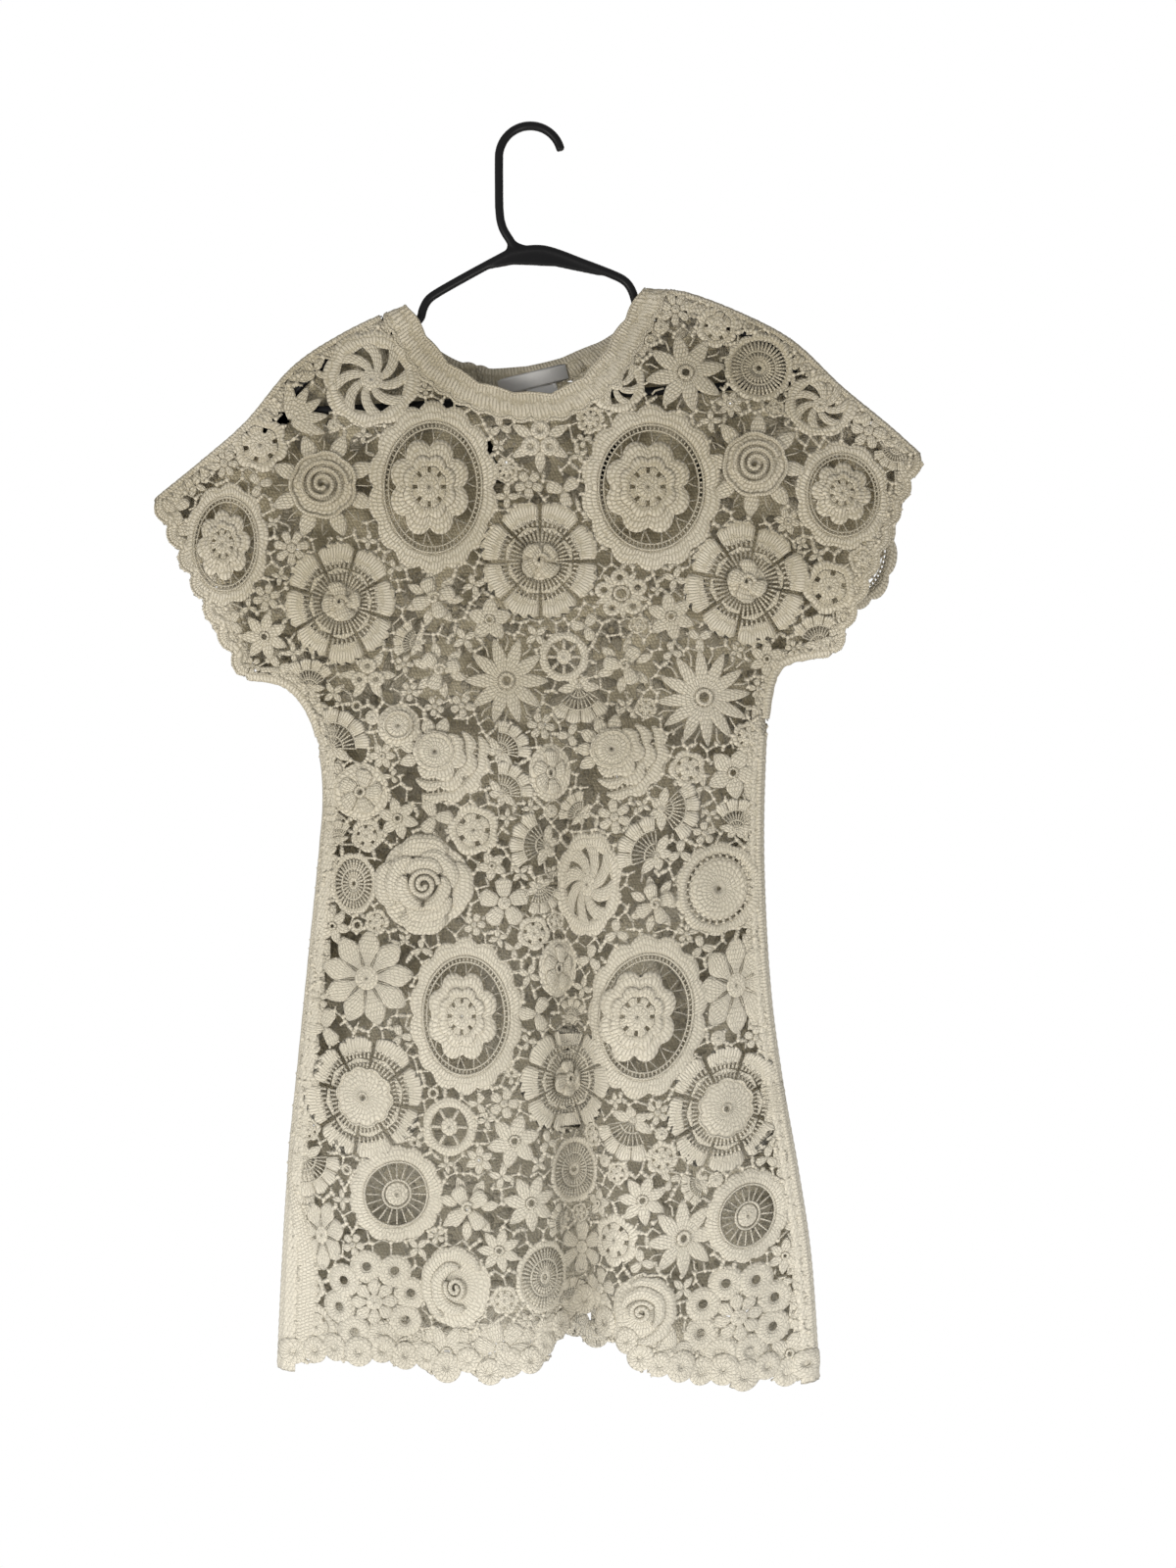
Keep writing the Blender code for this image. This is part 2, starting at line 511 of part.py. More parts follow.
def panel_outline(side):
    neck = curve(BAND_FRONT if side == "front" else BAND_BACK)
    neck = neck - left_normal(neck) * SEAM / 2
    cuffs = [curve([SHOULDER_LEFT[-1], UNDER_LEFT[0]]), curve([UNDER_RIGHT[0], SHOULDER_RIGHT[-1]])]
    left, right = curve(UNDER_LEFT), curve(UNDER_RIGHT)[::-1]
    sleeve_left = left[left[:, 1] > BAND_TOP_LEFT_Z]
    sleeve_right = right[right[:, 1] > BAND_TOP_RIGHT_Z]
    side_left = inset(side_edge(left, BAND_TOP_LEFT_Z))
    side_right = inset(side_edge(right, BAND_TOP_RIGHT_Z))
    hem = scalloped(curve(HEM_FRONT if side == "front" else HEM_BACK), SCALLOP, SCALLOP_DROP)
    hem = hem[(hem[:, 0] > side_left[-1, 0] + 0.004) & (hem[:, 0] < side_right[0, 0] - 0.004)]
    side_left = side_left[side_left[:, 1] > hem[0, 1] + 0.004]
    side_right = side_right[side_right[:, 1] > hem[-1, 1] + 0.004]
    top_left = curve(SHOULDER_LEFT)
    top_left = top_left[top_left[:, 0] < neck[0, 0] - 0.004]
    top_right = curve(SHOULDER_RIGHT)[::-1]
    top_right = top_right[top_right[:, 0] > neck[-1, 0] + 0.004]
    parts = [
        top_left, scalloped(cuffs[0], CUFF_SCALLOP, CUFF_DROP)[1:-1], sleeve_left, side_left, hem, side_right,
        sleeve_right, scalloped(cuffs[1], CUFF_SCALLOP, CUFF_DROP)[1:-1], top_right, neck[::-1],
    ]
    return np.vstack(parts)


def edge_rows(outline):
    """Rows of points that carry the rounding along shoulders and sleeve undersides."""
    rows = []
    for line in TOP_EDGES:
        for depth in (0.0030, 0.0075, 0.0135):
            rows.append(evenly(line + left_normal(line) * depth, 0.021))
    for line, top in zip(UNDER_EDGES, (BAND_TOP_LEFT_Z, BAND_TOP_RIGHT_Z)):
        sleeve = line[line[:, 1] > top + 0.004]
        for depth in (0.0025, 0.0065):
            rows.append(evenly(sleeve + left_normal(sleeve) * depth, 0.014))
    return np.vstack(rows)


def carry_points(outline, gaps, rings, pitch):
    """Points that carry the rounded edges and the folds, kept clear of edges, gaps and rings."""
    low, high = outline.min(axis=0), outline.max(axis=0)
    grid = [(x, z) for k, z in enumerate(np.arange(low[1], high[1], pitch))
            for x in np.arange(low[0] + (k % 2) * pitch / 2, high[0], pitch)]
    edge = edge_rows(outline)
    kept = [edge[inside(edge, outline) & (distance_to(edge, outline) > 0.002)]]
    grid = np.array(grid)
    kept.append(grid[inside(grid, outline) & (distance_to(grid, outline) > 0.012)])
    points = np.vstack(kept)
    for loop in gaps:
        points = points[~inside(points, loop) & (distance_to(points, loop) > 0.0012)]
    for loop in rings:
        points = points[distance_to(points, loop) > 0.0030]
    return points


def lace_panel(name, side):
    outline = panel_outline(side)
    rows = motif_rows(side)
    gaps = clear_gaps(side, outline, rows, random.Random(11 if side == "front" else 12))
    rings = [ring for ring in tier_rings(rows) if inside(ring, outline).all()
             and distance_to(ring, outline).min() > 0.002]
    points = carry_points(outline, gaps, rings, GRID[side])
    return wall(name, side, outline, gaps, rings, points, rows)


def neckband(name, side):
    """The band between the neck's free edge and its seam."""
    seam = curve(BAND_FRONT if side == "front" else BAND_BACK)
    seam = seam + left_normal(seam) * SEAM / 2
    free = scalloped(curve(NECK_FRONT if side == "front" else NECK_BACK)[::-1], 0.030, 0.0035)
    outline = np.vstack([seam, free])
    middle = curve(BAND_FRONT if side == "front" else BAND_BACK)
    points = middle + left_normal(middle) * 0.009
    points = points[inside(points, outline) & (distance_to(points, outline) > 0.003)]
    return wall(name, side, outline, points=points)


def side_band(name, line):
    """A ribbed strip that rounds the side from the front panel to the back panel."""
    across = 2 * RIB_COUNT
    rows = evenly(line, 0.045)
    inward = left_normal(rows)
    bm = bmesh.new()
    skins = []
    for lift in (0.0, WALL):
        skin = []
        for place, way in zip(rows, inward):
            radius = side_round(place[1:2])[0] - SEAM / 2
            ring = []
            for j in range(across + 1):
                t = radius * (1 - 2 * j / across)
                rib = RIB_RISE if lift and j % 2 else 0.0
                side = "front" if t >= 0 else "back"
                at = np.array([place + way * abs(t)])
                ring.append((side, at, lift + rib))
            skin.append(ring)
        skins.append(skin)
    grids = []
    for skin in skins:
        grid = []
        for ring in skin:
            grid.append([bm.verts.new(band_point(side, at, lift)) for side, at, lift in ring])
        grids.append(grid)
    inner, outer = grids
    for k in range(len(rows) - 1):
        for j in range(across):
            bm.faces.new([outer[k][j], outer[k + 1][j], outer[k + 1][j + 1], outer[k][j + 1]])
            bm.faces.new([inner[k][j], inner[k][j + 1], inner[k + 1][j + 1], inner[k + 1][j]])
        for j, turn in ((0, 1), (across, -1)):
            quad = [outer[k][j], inner[k][j], inner[k + 1][j], outer[k + 1][j]]
            bm.faces.new(quad[::turn])
    for k, turn in ((0, -1), (len(rows) - 1, 1)):
        for j in range(across):
            quad = [outer[k][j], inner[k][j], inner[k][j + 1], outer[k][j + 1]]
            bm.faces.new(quad[::turn])
    bmesh.ops.triangulate(bm, faces=bm.faces)
    return finish(name, bm, CLOTH, 0.9)


def band_point(side, at, lift):
    """A point of the band, which crosses the plane between front and back without a seam."""
    base = surface(side, at)
    step = 0.0004
    dx = surface(side, at + (step, 0)) - surface(side, at - (step, 0))
    dz = surface(side, at + (0, step)) - surface(side, at - (0, step))
    normal = np.cross(dx, dz) * (-1.0 if side == "back" else 1.0)
    normal /= np.linalg.norm(normal, axis=1)[:, None]
    return (base + normal * lift)[0]


def label():
    """The bare label inside the back neck, a patch of the back's surface moved inwards."""
    wide, tall = LABEL_SIZE
    cos, sin = math.cos(LABEL_TILT), math.sin(LABEL_TILT)
    turn = np.array([[cos, sin], [-sin, cos]])
    u, v = np.meshgrid(np.linspace(-wide / 2, wide / 2, 7), np.linspace(-tall / 2, tall / 2, 3))
    grid = np.stack([u.ravel(), v.ravel()], 1) @ turn + LABEL_CENTRE
    border = [0, 1, 2, 3, 4, 5, 6, 13, 20, 19, 18, 17, 16, 15, 14, 7]
    middle = [8, 9, 10, 11, 12]
    return wall("label", "back", grid[border], points=grid[middle], low=-SEAM - LABEL_THICK, high=-SEAM,
                colour=PAPER)


# ---------------------------------------------------------------- hanger
def tube(path, closed=False, radius=TUBE):
    """A round tube along rows of (x, z) in the plane y = 0."""
    path = np.array(path)
    bm = bmesh.new()
    if closed:
        way = np.roll(path, -1, axis=0) - np.roll(path, 1, axis=0)
    else:
        way = np.gradient(path, axis=0)
    way /= np.linalg.norm(way, axis=1)[:, None]
    rings = []
    for place, along in zip(path, way):
        ring = []
        for j in range(TUBE_SIDES):
            angle = 2 * math.pi * (j + 0.5) / TUBE_SIDES
            across, deep = radius * math.cos(angle), radius * math.sin(angle)
            ring.append(bm.verts.new((place[0] - along[1] * across, deep, place[1] + along[0] * across)))
        rings.append(ring)
    pairs = list(zip(rings, rings[1:] + rings[:1])) if closed else list(zip(rings, rings[1:]))
    for a, b in pairs:
        for j in range(TUBE_SIDES):
            k = (j + 1) % TUBE_SIDES
            bm.faces.new([a[j], a[k], b[k], b[j]])
    if not closed:
        bm.faces.new(rings[0][::-1])
        bm.faces.new(rings[-1])
    bmesh.ops.triangulate(bm, faces=bm.faces)
    return bm


def frame_path():
    """Centre line of the hanger's frame: neck, left arm, bar, right arm."""
    clear = WALL + SHOULDER_RISE - 0.0020
    left = curve(SHOULDER_LEFT, 0.02)
    left_in = left + left_normal(left) * clear
    left_in = left_in[(left_in[:, 0] < -0.104) & (left_in[:, 0] > -0.190)]
    right = curve(SHOULDER_RIGHT[::-1], 0.02)
    right_in = right + left_normal(right) * clear
    right_in = right_in[(right_in[:, 0] > 0.102) & (right_in[:, 0] < 0.212)]
    down_left = [(-0.0175, -0.1035), (-0.050, -0.1210), (-0.0800, -0.1380), (-0.0885, -0.1450),
                 (-0.0925, -0.1540), (-0.0960, -0.1615)]
    bend_left = [(-0.1975, -0.2180), (-0.2020, -0.2260), (-0.1985, -0.2340), (-0.1890, -0.2372)]
    bar = [(-0.130, -0.2350), (-0.060, -0.2305), (0.010, -0.2265), (0.080, -0.2225), (0.150, -0.2180)]
    bend_right = [(0.2090, -0.2145), (0.2175, -0.2120), (0.2215, -0.2055), (0.2190, -0.1975)]
    up_right = [(0.0945, -0.1520), (0.0890, -0.1475), (0.0865, -0.1390), (0.0825, -0.1310),
                (0.0740, -0.1245), (0.045, -0.1130), (0.0100, -0.1010)]
    return np.vstack([down_left, left_in, bend_left, bar, bend_right, right_in, up_right])


def hook_path():
    """Centre line of the hook, from its tip over the top and down into the gusset."""
    angles = np.radians(np.linspace(12, 180, 15))
    arc = np.array(HOOK_CENTRE) + HOOK_RADIUS * np.stack([np.cos(angles), np.sin(angles)], 1)
    stem = [(-0.0273, -0.045), (-0.0268, -0.070), (-0.0240, -0.083), (-0.0175, -0.094), (-0.0120, -0.1035)]
    return np.vstack([arc, stem])


WEB = [(-0.0185, -0.0900), (-0.0105, -0.0960), (0.045, -0.1125), (0.0720, -0.1240), (0.0560, -0.1225),
       (0.0200, -0.1150), (-0.0150, -0.1135), (-0.0450, -0.1190), (-0.0700, -0.1325), (-0.0480, -0.1195),
       (-0.0220, -0.1050)]


def gusset():
    """The flat web in the angle between the hook and the arms."""
    bm = bmesh.new()
    front = [bm.verts.new((x, -WEB_THICK / 2, z)) for x, z in WEB]
    back = [bm.verts.new((x, WEB_THICK / 2, z)) for x, z in WEB]
    bm.faces.new(front)
    bm.faces.new(back[::-1])
    for i in range(len(WEB)):
        j = (i + 1) % len(WEB)
        bm.faces.new([front[j], front[i], back[i], back[j]])
    bmesh.ops.recalc_face_normals(bm, faces=bm.faces)
    bmesh.ops.triangulate(bm, faces=bm.faces)
    return bm


def hanger():
    body = finish("hanger", tube(frame_path(), closed=True), PLASTIC, 0.45)
    for name, piece in (("hook_tool", tube(hook_path())), ("web_tool", gusset())):
        tool = finish(name, piece, PLASTIC, 0.45)
        tool.hide_render = True
        tool.display_type = "WIRE"
        join = body.modifiers.new(name, "BOOLEAN")
        join.operation = "UNION"
        join.solver = "EXACT"
        join.object = tool
    return body


def main():
    for old in list(bpy.data.objects):
        bpy.data.objects.remove(old)
    lace_panel("front_panel", "front")
    lace_panel("back_panel", "back")
    neckband("neckband_front", "front")
    neckband("neckband_back", "back")
    side_band("side_band_left", side_edge(curve(UNDER_LEFT), BAND_TOP_LEFT_Z))
    side_band("side_band_right", side_edge(curve(UNDER_RIGHT)[::-1], BAND_TOP_RIGHT_Z))
    label()
    hanger()


main()
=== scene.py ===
"""Looks of a crochet mini dress on a plastic hanger: motifs, net, ribbed bands, label and hanger."""
import json
import math
import random

import bpy
import numpy as np
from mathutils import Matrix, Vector

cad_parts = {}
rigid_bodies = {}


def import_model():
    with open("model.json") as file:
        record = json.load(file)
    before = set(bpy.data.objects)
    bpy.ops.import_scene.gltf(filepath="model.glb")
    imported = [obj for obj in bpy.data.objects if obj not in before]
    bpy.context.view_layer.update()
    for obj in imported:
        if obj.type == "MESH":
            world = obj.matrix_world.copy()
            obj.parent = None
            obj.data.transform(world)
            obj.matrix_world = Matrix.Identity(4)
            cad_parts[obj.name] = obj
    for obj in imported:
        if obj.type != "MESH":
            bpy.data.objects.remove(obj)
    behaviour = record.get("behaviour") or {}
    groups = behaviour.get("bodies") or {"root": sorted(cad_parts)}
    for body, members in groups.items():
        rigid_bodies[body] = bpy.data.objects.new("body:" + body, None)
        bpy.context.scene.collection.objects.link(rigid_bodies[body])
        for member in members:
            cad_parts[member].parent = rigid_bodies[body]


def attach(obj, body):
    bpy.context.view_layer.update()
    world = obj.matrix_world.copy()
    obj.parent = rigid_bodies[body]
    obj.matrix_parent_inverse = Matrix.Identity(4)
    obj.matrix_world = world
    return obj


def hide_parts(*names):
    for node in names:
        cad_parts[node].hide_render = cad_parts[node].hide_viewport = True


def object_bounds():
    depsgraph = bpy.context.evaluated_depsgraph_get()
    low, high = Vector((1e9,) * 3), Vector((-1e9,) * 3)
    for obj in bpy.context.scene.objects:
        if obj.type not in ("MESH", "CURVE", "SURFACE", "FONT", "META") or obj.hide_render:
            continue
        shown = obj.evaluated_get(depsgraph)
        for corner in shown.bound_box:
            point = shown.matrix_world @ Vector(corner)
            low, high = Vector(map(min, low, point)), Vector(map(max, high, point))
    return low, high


for item in list(bpy.data.objects):
    bpy.data.objects.remove(item)
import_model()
cad_box = [list(corner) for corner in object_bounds()]

# ---------------------------------------------------------------- sizes, in metres
WALL = 0.0024  # thickness of the crochet ground
SEAM = 0.0003  # between the front and the back where they meet
YARN = 0.0013  # a chain of the net
STITCH = 0.0029  # width of a stitch
ROW = 0.0037  # height of a row of stitches
CURVE_STEP = 0.012  # along a smooth line, where nothing else is said

# Edges of the flat silhouette, (x, z), and the seams, as in the part's source.
SHOULDER_LEFT = [(-0.106, -0.150), (-0.150, -0.169), (-0.200, -0.201), (-0.240, -0.248), (-0.280, -0.283),
                 (-0.317, -0.313)]
SHOULDER_RIGHT = [(0.0955, -0.136), (0.130, -0.139), (0.180, -0.158), (0.222, -0.181), (0.261, -0.218),
                  (0.300, -0.250), (0.328, -0.275)]
UNDER_LEFT = [(-0.2405, -0.464), (-0.207, -0.471), (-0.184, -0.502), (-0.175, -0.555), (-0.178, -0.610),
              (-0.187, -0.700), (-0.196, -0.790), (-0.205, -0.880), (-0.210, -0.960), (-0.214, -1.045)]
UNDER_RIGHT = [(0.254, -0.444), (0.213, -0.453), (0.201, -0.487), (0.197, -0.540), (0.196, -0.620),
               (0.201, -0.720), (0.211, -0.800), (0.225, -0.880), (0.236, -0.955), (0.243, -1.055)]
NECK = {
    "front": [(-0.106, -0.150), (-0.077, -0.193), (-0.050, -0.215), (-0.017, -0.226), (0.022, -0.226),
              (0.053, -0.205), (0.073, -0.174), (0.0955, -0.136)],
    "back": [(-0.106, -0.150), (-0.085, -0.181), (-0.045, -0.198), (0.005, -0.195), (0.045, -0.182),
             (0.073, -0.168), (0.0955, -0.136)],
}
BAND_SEAM = {
    "front": [(-0.1225, -0.157), (-0.096, -0.203), (-0.062, -0.230), (-0.019, -0.2445), (0.026, -0.2445),
              (0.067, -0.219), (0.091, -0.181), (0.1135, -0.1365)],
    "back": [(-0.1225, -0.157), (-0.096, -0.194), (-0.050, -0.2155), (0.006, -0.2125), (0.051, -0.199),
             (0.086, -0.181), (0.1135, -0.1365)],
}
HEM = {
    "front": [(-0.205, -1.033), (-0.140, -1.022), (-0.060, -1.034), (0.000, -1.028), (0.045, -0.990),
              (0.090, -1.024), (0.150, -1.040), (0.200, -1.044), (0.232, -1.048)],
    "back": [(-0.205, -1.033), (-0.100, -1.030), (0.000, -1.028), (0.100, -1.034), (0.232, -1.048)],
}
SCALLOP, SCALLOP_DROP = 0.040, 0.009
HEM_LOBE, HEM_LOBE_RADIUS = 0.0205, 0.0118
CUFF_SCALLOP, CUFF_DROP = 0.024, 0.006
SHOULDER_RISE, SHOULDER_DEPTH = 0.0120, 0.0048
SLEEVE_ROUND, SIDE_ROUND_TOP, SIDE_ROUND_HEM = 0.005, 0.011, 0.017
UNDERARM_Z, HEM_Z = -0.47, -1.05
BAND_TOP_LEFT_Z, BAND_TOP_RIGHT_Z = -0.520, -0.500
# Folds: side, x at the top and at the hem, z where it begins, half width and depth at the hem.
# A negative depth stands out as a ridge.
FOLDS = [
    ("front", 0.024, 0.046, -0.44, 0.024, 0.036),
    ("front", -0.030, -0.024, -0.50, 0.030, -0.010),
    ("front", 0.080, 0.100, -0.50, 0.030, -0.011),
    ("front", -0.090, -0.105, -0.62, 0.022, 0.009),
    ("front", 0.130, 0.150, -0.66, 0.020, 0.006),
    ("front", -0.140, -0.158, -0.80, 0.014, -0.005),
    ("back", -0.050, -0.070, -0.42, 0.030, 0.014),
    ("back", 0.060, 0.110, -0.46, 0.032, 0.015),
    ("back", 0.010, 0.020, -0.55, 0.030, -0.007),
    ("back", -0.120, -0.140, -0.70, 0.020, 0.006),
]
DEEPEST_FOLD = 0.036
BULGE = {"front": (0.010, 0.028), "back": (0.009, 0.016)}  # extra half depth at chest and hem
BACK_MIRROR_X = 0.010


# ---------------------------------------------------------------- curves
def curve(points, step=CURVE_STEP):
    """A smooth line through the points, as rows of (x, z) about step apart."""
    p = np.array(points, float)
    ends = np.vstack([2 * p[0] - p[1], p, 2 * p[-1] - p[-2]])
    out = []
    for i in range(len(p) - 1):
        a, b, c, d = ends[i:i + 4]
        count = max(1, round(np.linalg.norm(c - b) / step))
        for t in np.arange(count) / count:
            out.append(0.5 * (2 * b + (c - a) * t + (2 * a - 5 * b + 4 * c - d) * t ** 2
                              + (3 * b - a - 3 * c + d) * t ** 3))
    return np.array(out + [p[-1]])


def along(line):
    """Distance from the start at each point of the line."""
    return np.concatenate([[0], np.cumsum(np.linalg.norm(np.diff(line, axis=0), axis=1))])


def evenly(line, step):
    far = along(line)
    at = np.linspace(0, far[-1], max(2, round(far[-1] / step) + 1))
    return np.stack([np.interp(at, far, line[:, 0]), np.interp(at, far, line[:, 1])], 1)


def left_normal(line, closed=False):
    way = np.roll(line, -1, axis=0) - np.roll(line, 1, axis=0) if closed else np.gradient(line, axis=0)
    way = way / np.maximum(np.linalg.norm(way, axis=1), 1e-9)[:, None]
    return np.stack([-way[:, 1], way[:, 0]], 1)


def scalloped(line, width, drop, parts=4):
    """The line with arcs that hang out to its right."""
    fine = evenly(line, width / parts)
    far = along(fine)
    arcs = max(1, round(far[-1] / width))
    bump = np.abs(np.sin(math.pi * arcs * far / far[-1])) ** 0.7
    return fine - left_normal(fine) * (drop * bump)[:, None]


def smooth(value, low, high):
    t = np.clip((value - low) / (high - low), 0, 1)
    return t * t * (3 - 2 * t)


def inside(places, polygon):
    x, z = places[:, 0], places[:, 1]
    result = np.zeros(len(places), bool)
    for (ax, az), (bx, bz) in zip(polygon, np.roll(polygon, -1, axis=0)):
        if az != bz:
            result ^= ((az > z) != (bz > z)) & (x < ax + (z - az) * (bx - ax) / (bz - az))
    return result


def distance_to(places, polygon):
    best = np.full(len(places), np.inf)
    for a, b in zip(polygon, np.roll(polygon, -1, axis=0)):
        way = b - a
        t = np.clip((places - a) @ way / max(way @ way, 1e-12), 0, 1)
        best = np.minimum(best, np.linalg.norm(places - a - t[:, None] * way, axis=1))
    return best


# ---------------------------------------------------------------- the surface that all the cloth lies on
TOP_EDGES = [curve(SHOULDER_LEFT), curve(SHOULDER_RIGHT)[::-1]]
UNDER_EDGES = [curve(UNDER_LEFT), curve(UNDER_RIGHT)[::-1]]


def from_edges(places, edges):
    """Signed distance inwards from the nearest edge, the nearest point on it and the way inwards."""
    best = np.full(len(places), np.inf)
    signed = np.zeros(len(places))
    foot, inward = np.zeros_like(places), np.zeros_like(places)
    for line in edges:
        for a, b in zip(line[:-1], line[1:]):
            way = b - a
            length = np.linalg.norm(way)
            way = way / length
            normal = np.array([-way[1], way[0]])
            t = np.clip((places - a) @ way, 0, length)
            near = a + t[:, None] * way
            off = places - near
            gap = np.linalg.norm(off, axis=1)
            side = np.where(off @ normal >= 0, 1.0, -1.0)
            closer = gap < best - 1e-12
            best = np.where(closer, gap, best)
            signed = np.where(closer, gap * side, signed)
            foot[closer] = near[closer]
            plain = gap < 1e-7
            aim = np.where(plain[:, None], normal, off * side[:, None] / np.maximum(gap, 1e-12)[:, None])
            inward[closer] = aim[closer]
    return signed, foot, inward


def side_round(z):
    down = smooth(-z, -UNDERARM_Z, -UNDERARM_Z + 0.06)
    long = np.clip((UNDERARM_Z - z) / (UNDERARM_Z - HEM_Z), 0, 1)
    return SLEEVE_ROUND + down * (SIDE_ROUND_TOP - SLEEVE_ROUND + long * (SIDE_ROUND_HEM - SIDE_ROUND_TOP))


def folds_at(side, x, z):
    depth = np.zeros_like(x)
    for face, x_top, x_hem, start, width, deep in FOLDS:
        if face == side:
            down = np.clip((start - z) / (start - HEM_Z), 0, 1.1)
            middle = x_top + (x_hem - x_top) * down
            depth += deep * down ** 0.9 * np.exp(-((x - middle) / (width * (0.65 + 0.35 * down))) ** 2)
    return depth


def surface(side, places):
    """Points of the cloth's inner face for rows of (x, z), and the depth of the folds there."""
    top, top_foot, top_in = from_edges(places, TOP_EDGES)
    low, low_foot, low_in = from_edges(places, UNDER_EDGES)
    radius = side_round(places[:, 1])
    top_turn = np.clip(top / SHOULDER_RISE, -1, 1) * math.pi / 2
    low_turn = np.clip(low / radius, -1, 1) * math.pi / 2
    top_shift = SHOULDER_RISE * (1 - np.cos(top_turn)) - np.abs(np.clip(top, -SHOULDER_RISE, SHOULDER_RISE))
    low_shift = radius * (1 - np.cos(low_turn)) - np.abs(np.clip(low, -radius, radius))
    flat = np.where(top[:, None] < 0, 2 * top_foot - places, places)
    flat = np.where(low[:, None] < 0, 2 * low_foot - flat, flat)
    flat = flat + top_in * top_shift[:, None] + low_in * low_shift[:, None]
    x, z = places[:, 0], places[:, 1]
    rim = SHOULDER_DEPTH + (radius - SHOULDER_DEPTH) * smooth(top, 0.02, 0.12)
    chest, hem = BULGE[side]
    bulge = chest + (hem - chest) * smooth(-z, 0.30, 1.00)
    bulge = bulge * smooth(top, 0.016, 0.100) * smooth(low, radius, radius + 0.070)
    fold = folds_at(side, x, z) * smooth(low, radius + 0.002, radius + 0.040) * smooth(top, 0.03, 0.10)
    depth = np.sin(top_turn) * np.sin(low_turn) * (rim + bulge) - fold
    out = -1.0 if side == "front" else 1.0
    return np.stack([flat[:, 0], out * depth, flat[:, 1]], 1), fold


class Cloth:
    """One side of the dress. Work is laid out flat, as (u, z, lift), where u runs along the cloth through its
    folds, and hang() carries it to its place."""

    X = np.arange(-0.345, 0.3571, 0.0025)
    Z = np.arange(-1.084, -0.1169, 0.0033)
    MIDDLE = -0.02  # u and x agree here

    def __init__(self, side):
        self.side = side
        self.out = -1.0 if side == "front" else 1.0
        x, z = np.meshgrid(self.X, self.Z)
        points, fold = surface(side, np.stack([x.ravel(), z.ravel()], 1))
        self.points = points.reshape(*x.shape, 3)
        dx, dz = np.gradient(self.points, axis=1), np.gradient(self.points, axis=0)
        normal = np.cross(dx, dz) * -self.out
        self.normals = normal / np.maximum(np.linalg.norm(normal, axis=2), 1e-12)[..., None]
        slope = np.gradient(fold.reshape(x.shape), axis=1) / (self.X[1] - self.X[0])
        run = np.cumsum(np.sqrt(1 + slope ** 2), axis=1) * (self.X[1] - self.X[0])
        middle = np.array([np.interp(self.MIDDLE, self.X, row) for row in run])
        self.along = run - middle[:, None] + self.MIDDLE

    def cell(self, x, z):
        i = np.clip((x - self.X[0]) / (self.X[1] - self.X[0]), 0, len(self.X) - 1.001)
        k = np.clip((z - self.Z[0]) / (self.Z[1] - self.Z[0]), 0, len(self.Z) - 1.001)
        return i.astype(int), k.astype(int), i % 1, k % 1

    def look(self, table, x, z):
        """The table's value at places of the front view, between those of the grid."""
        i, k, s, t = self.cell(x, z)
        if table.ndim == 3:
            s, t = s[..., None], t[..., None]
        low = table[k, i] * (1 - s) + table[k, i + 1] * s
        high = table[k + 1, i] * (1 - s) + table[k + 1, i + 1] * s
        return low * (1 - t) + high * t

    def flatten(self, places):
        """(x, z) of the front view to (u, z) of the flat work."""
        places = np.asarray(places, float)
        return np.stack([self.look(self.along, places[..., 0], places[..., 1]), places[..., 1]], -1)

    def to_view(self, flat):
        """(u, z) of the flat work to (x, z) of the front view."""
        u, z = flat[:, 0], flat[:, 1]
        _, k, _, t = self.cell(u, z)
        low, high = np.empty_like(u), np.empty_like(u)
        for row in np.unique(k):
            here = k == row
            low[here] = np.interp(u[here], self.along[row], self.X)
            high[here] = np.interp(u[here], self.along[row + 1], self.X)
        return np.stack([low * (1 - t) + high * t, z], 1)

    def hang(self, flat):
        view = self.to_view(flat[:, :2])
        base = self.look(self.points, view[:, 0], view[:, 1])
        normal = self.look(self.normals, view[:, 0], view[:, 1])
        point = base + normal * flat[:, 2:3]
        point[:, 1] = self.out * np.maximum(self.out * point[:, 1], SEAM / 2)
        return point


CLOTHS = {side: Cloth(side) for side in ("front", "back")}

# ---------------------------------------------------------------- crochet work, laid out flat
GROUND = 0.0012  # lift of the middle of the ground
PAD = 0.0006  # depth of a pad below the lift that its work starts from
RELIEF = 0.75  # part of the named rises that bands and petals take
BAR_TWIST = 1.2  # chains show this many stitches to each of the pads'
CENTRE_SEED = 1  # of the small spots inside a motif


def rows_of(index, closed):
    """The rows of a grid of indices, with the first again at the end where it is closed."""
    return np.vstack([index, index[:1]]) if closed else index


def quads_of(grid):
    """The quads between neighbours in a grid of indices."""
    return np.stack([grid[:-1, :-1], grid[1:, :-1], grid[1:, 1:], grid[:-1, 1:]], -1).reshape(-1, 4)


def tube_faces(count, sides, closed):
    """Quads of a tube of so many rings, and the triangles that close its ends."""
    index = np.arange(count * sides).reshape(count, sides)
    rows = rows_of(index, closed)
    quads = quads_of(np.hstack([rows, rows[:, :1]]))[:, [0, 3, 2, 1]]
    caps = []
    for j in () if closed else range(1, sides - 1):
        caps += [[index[0, 0], index[0, j + 1], index[0, j]], [index[-1, 0], index[-1, j], index[-1, j + 1]]]
    return quads, caps


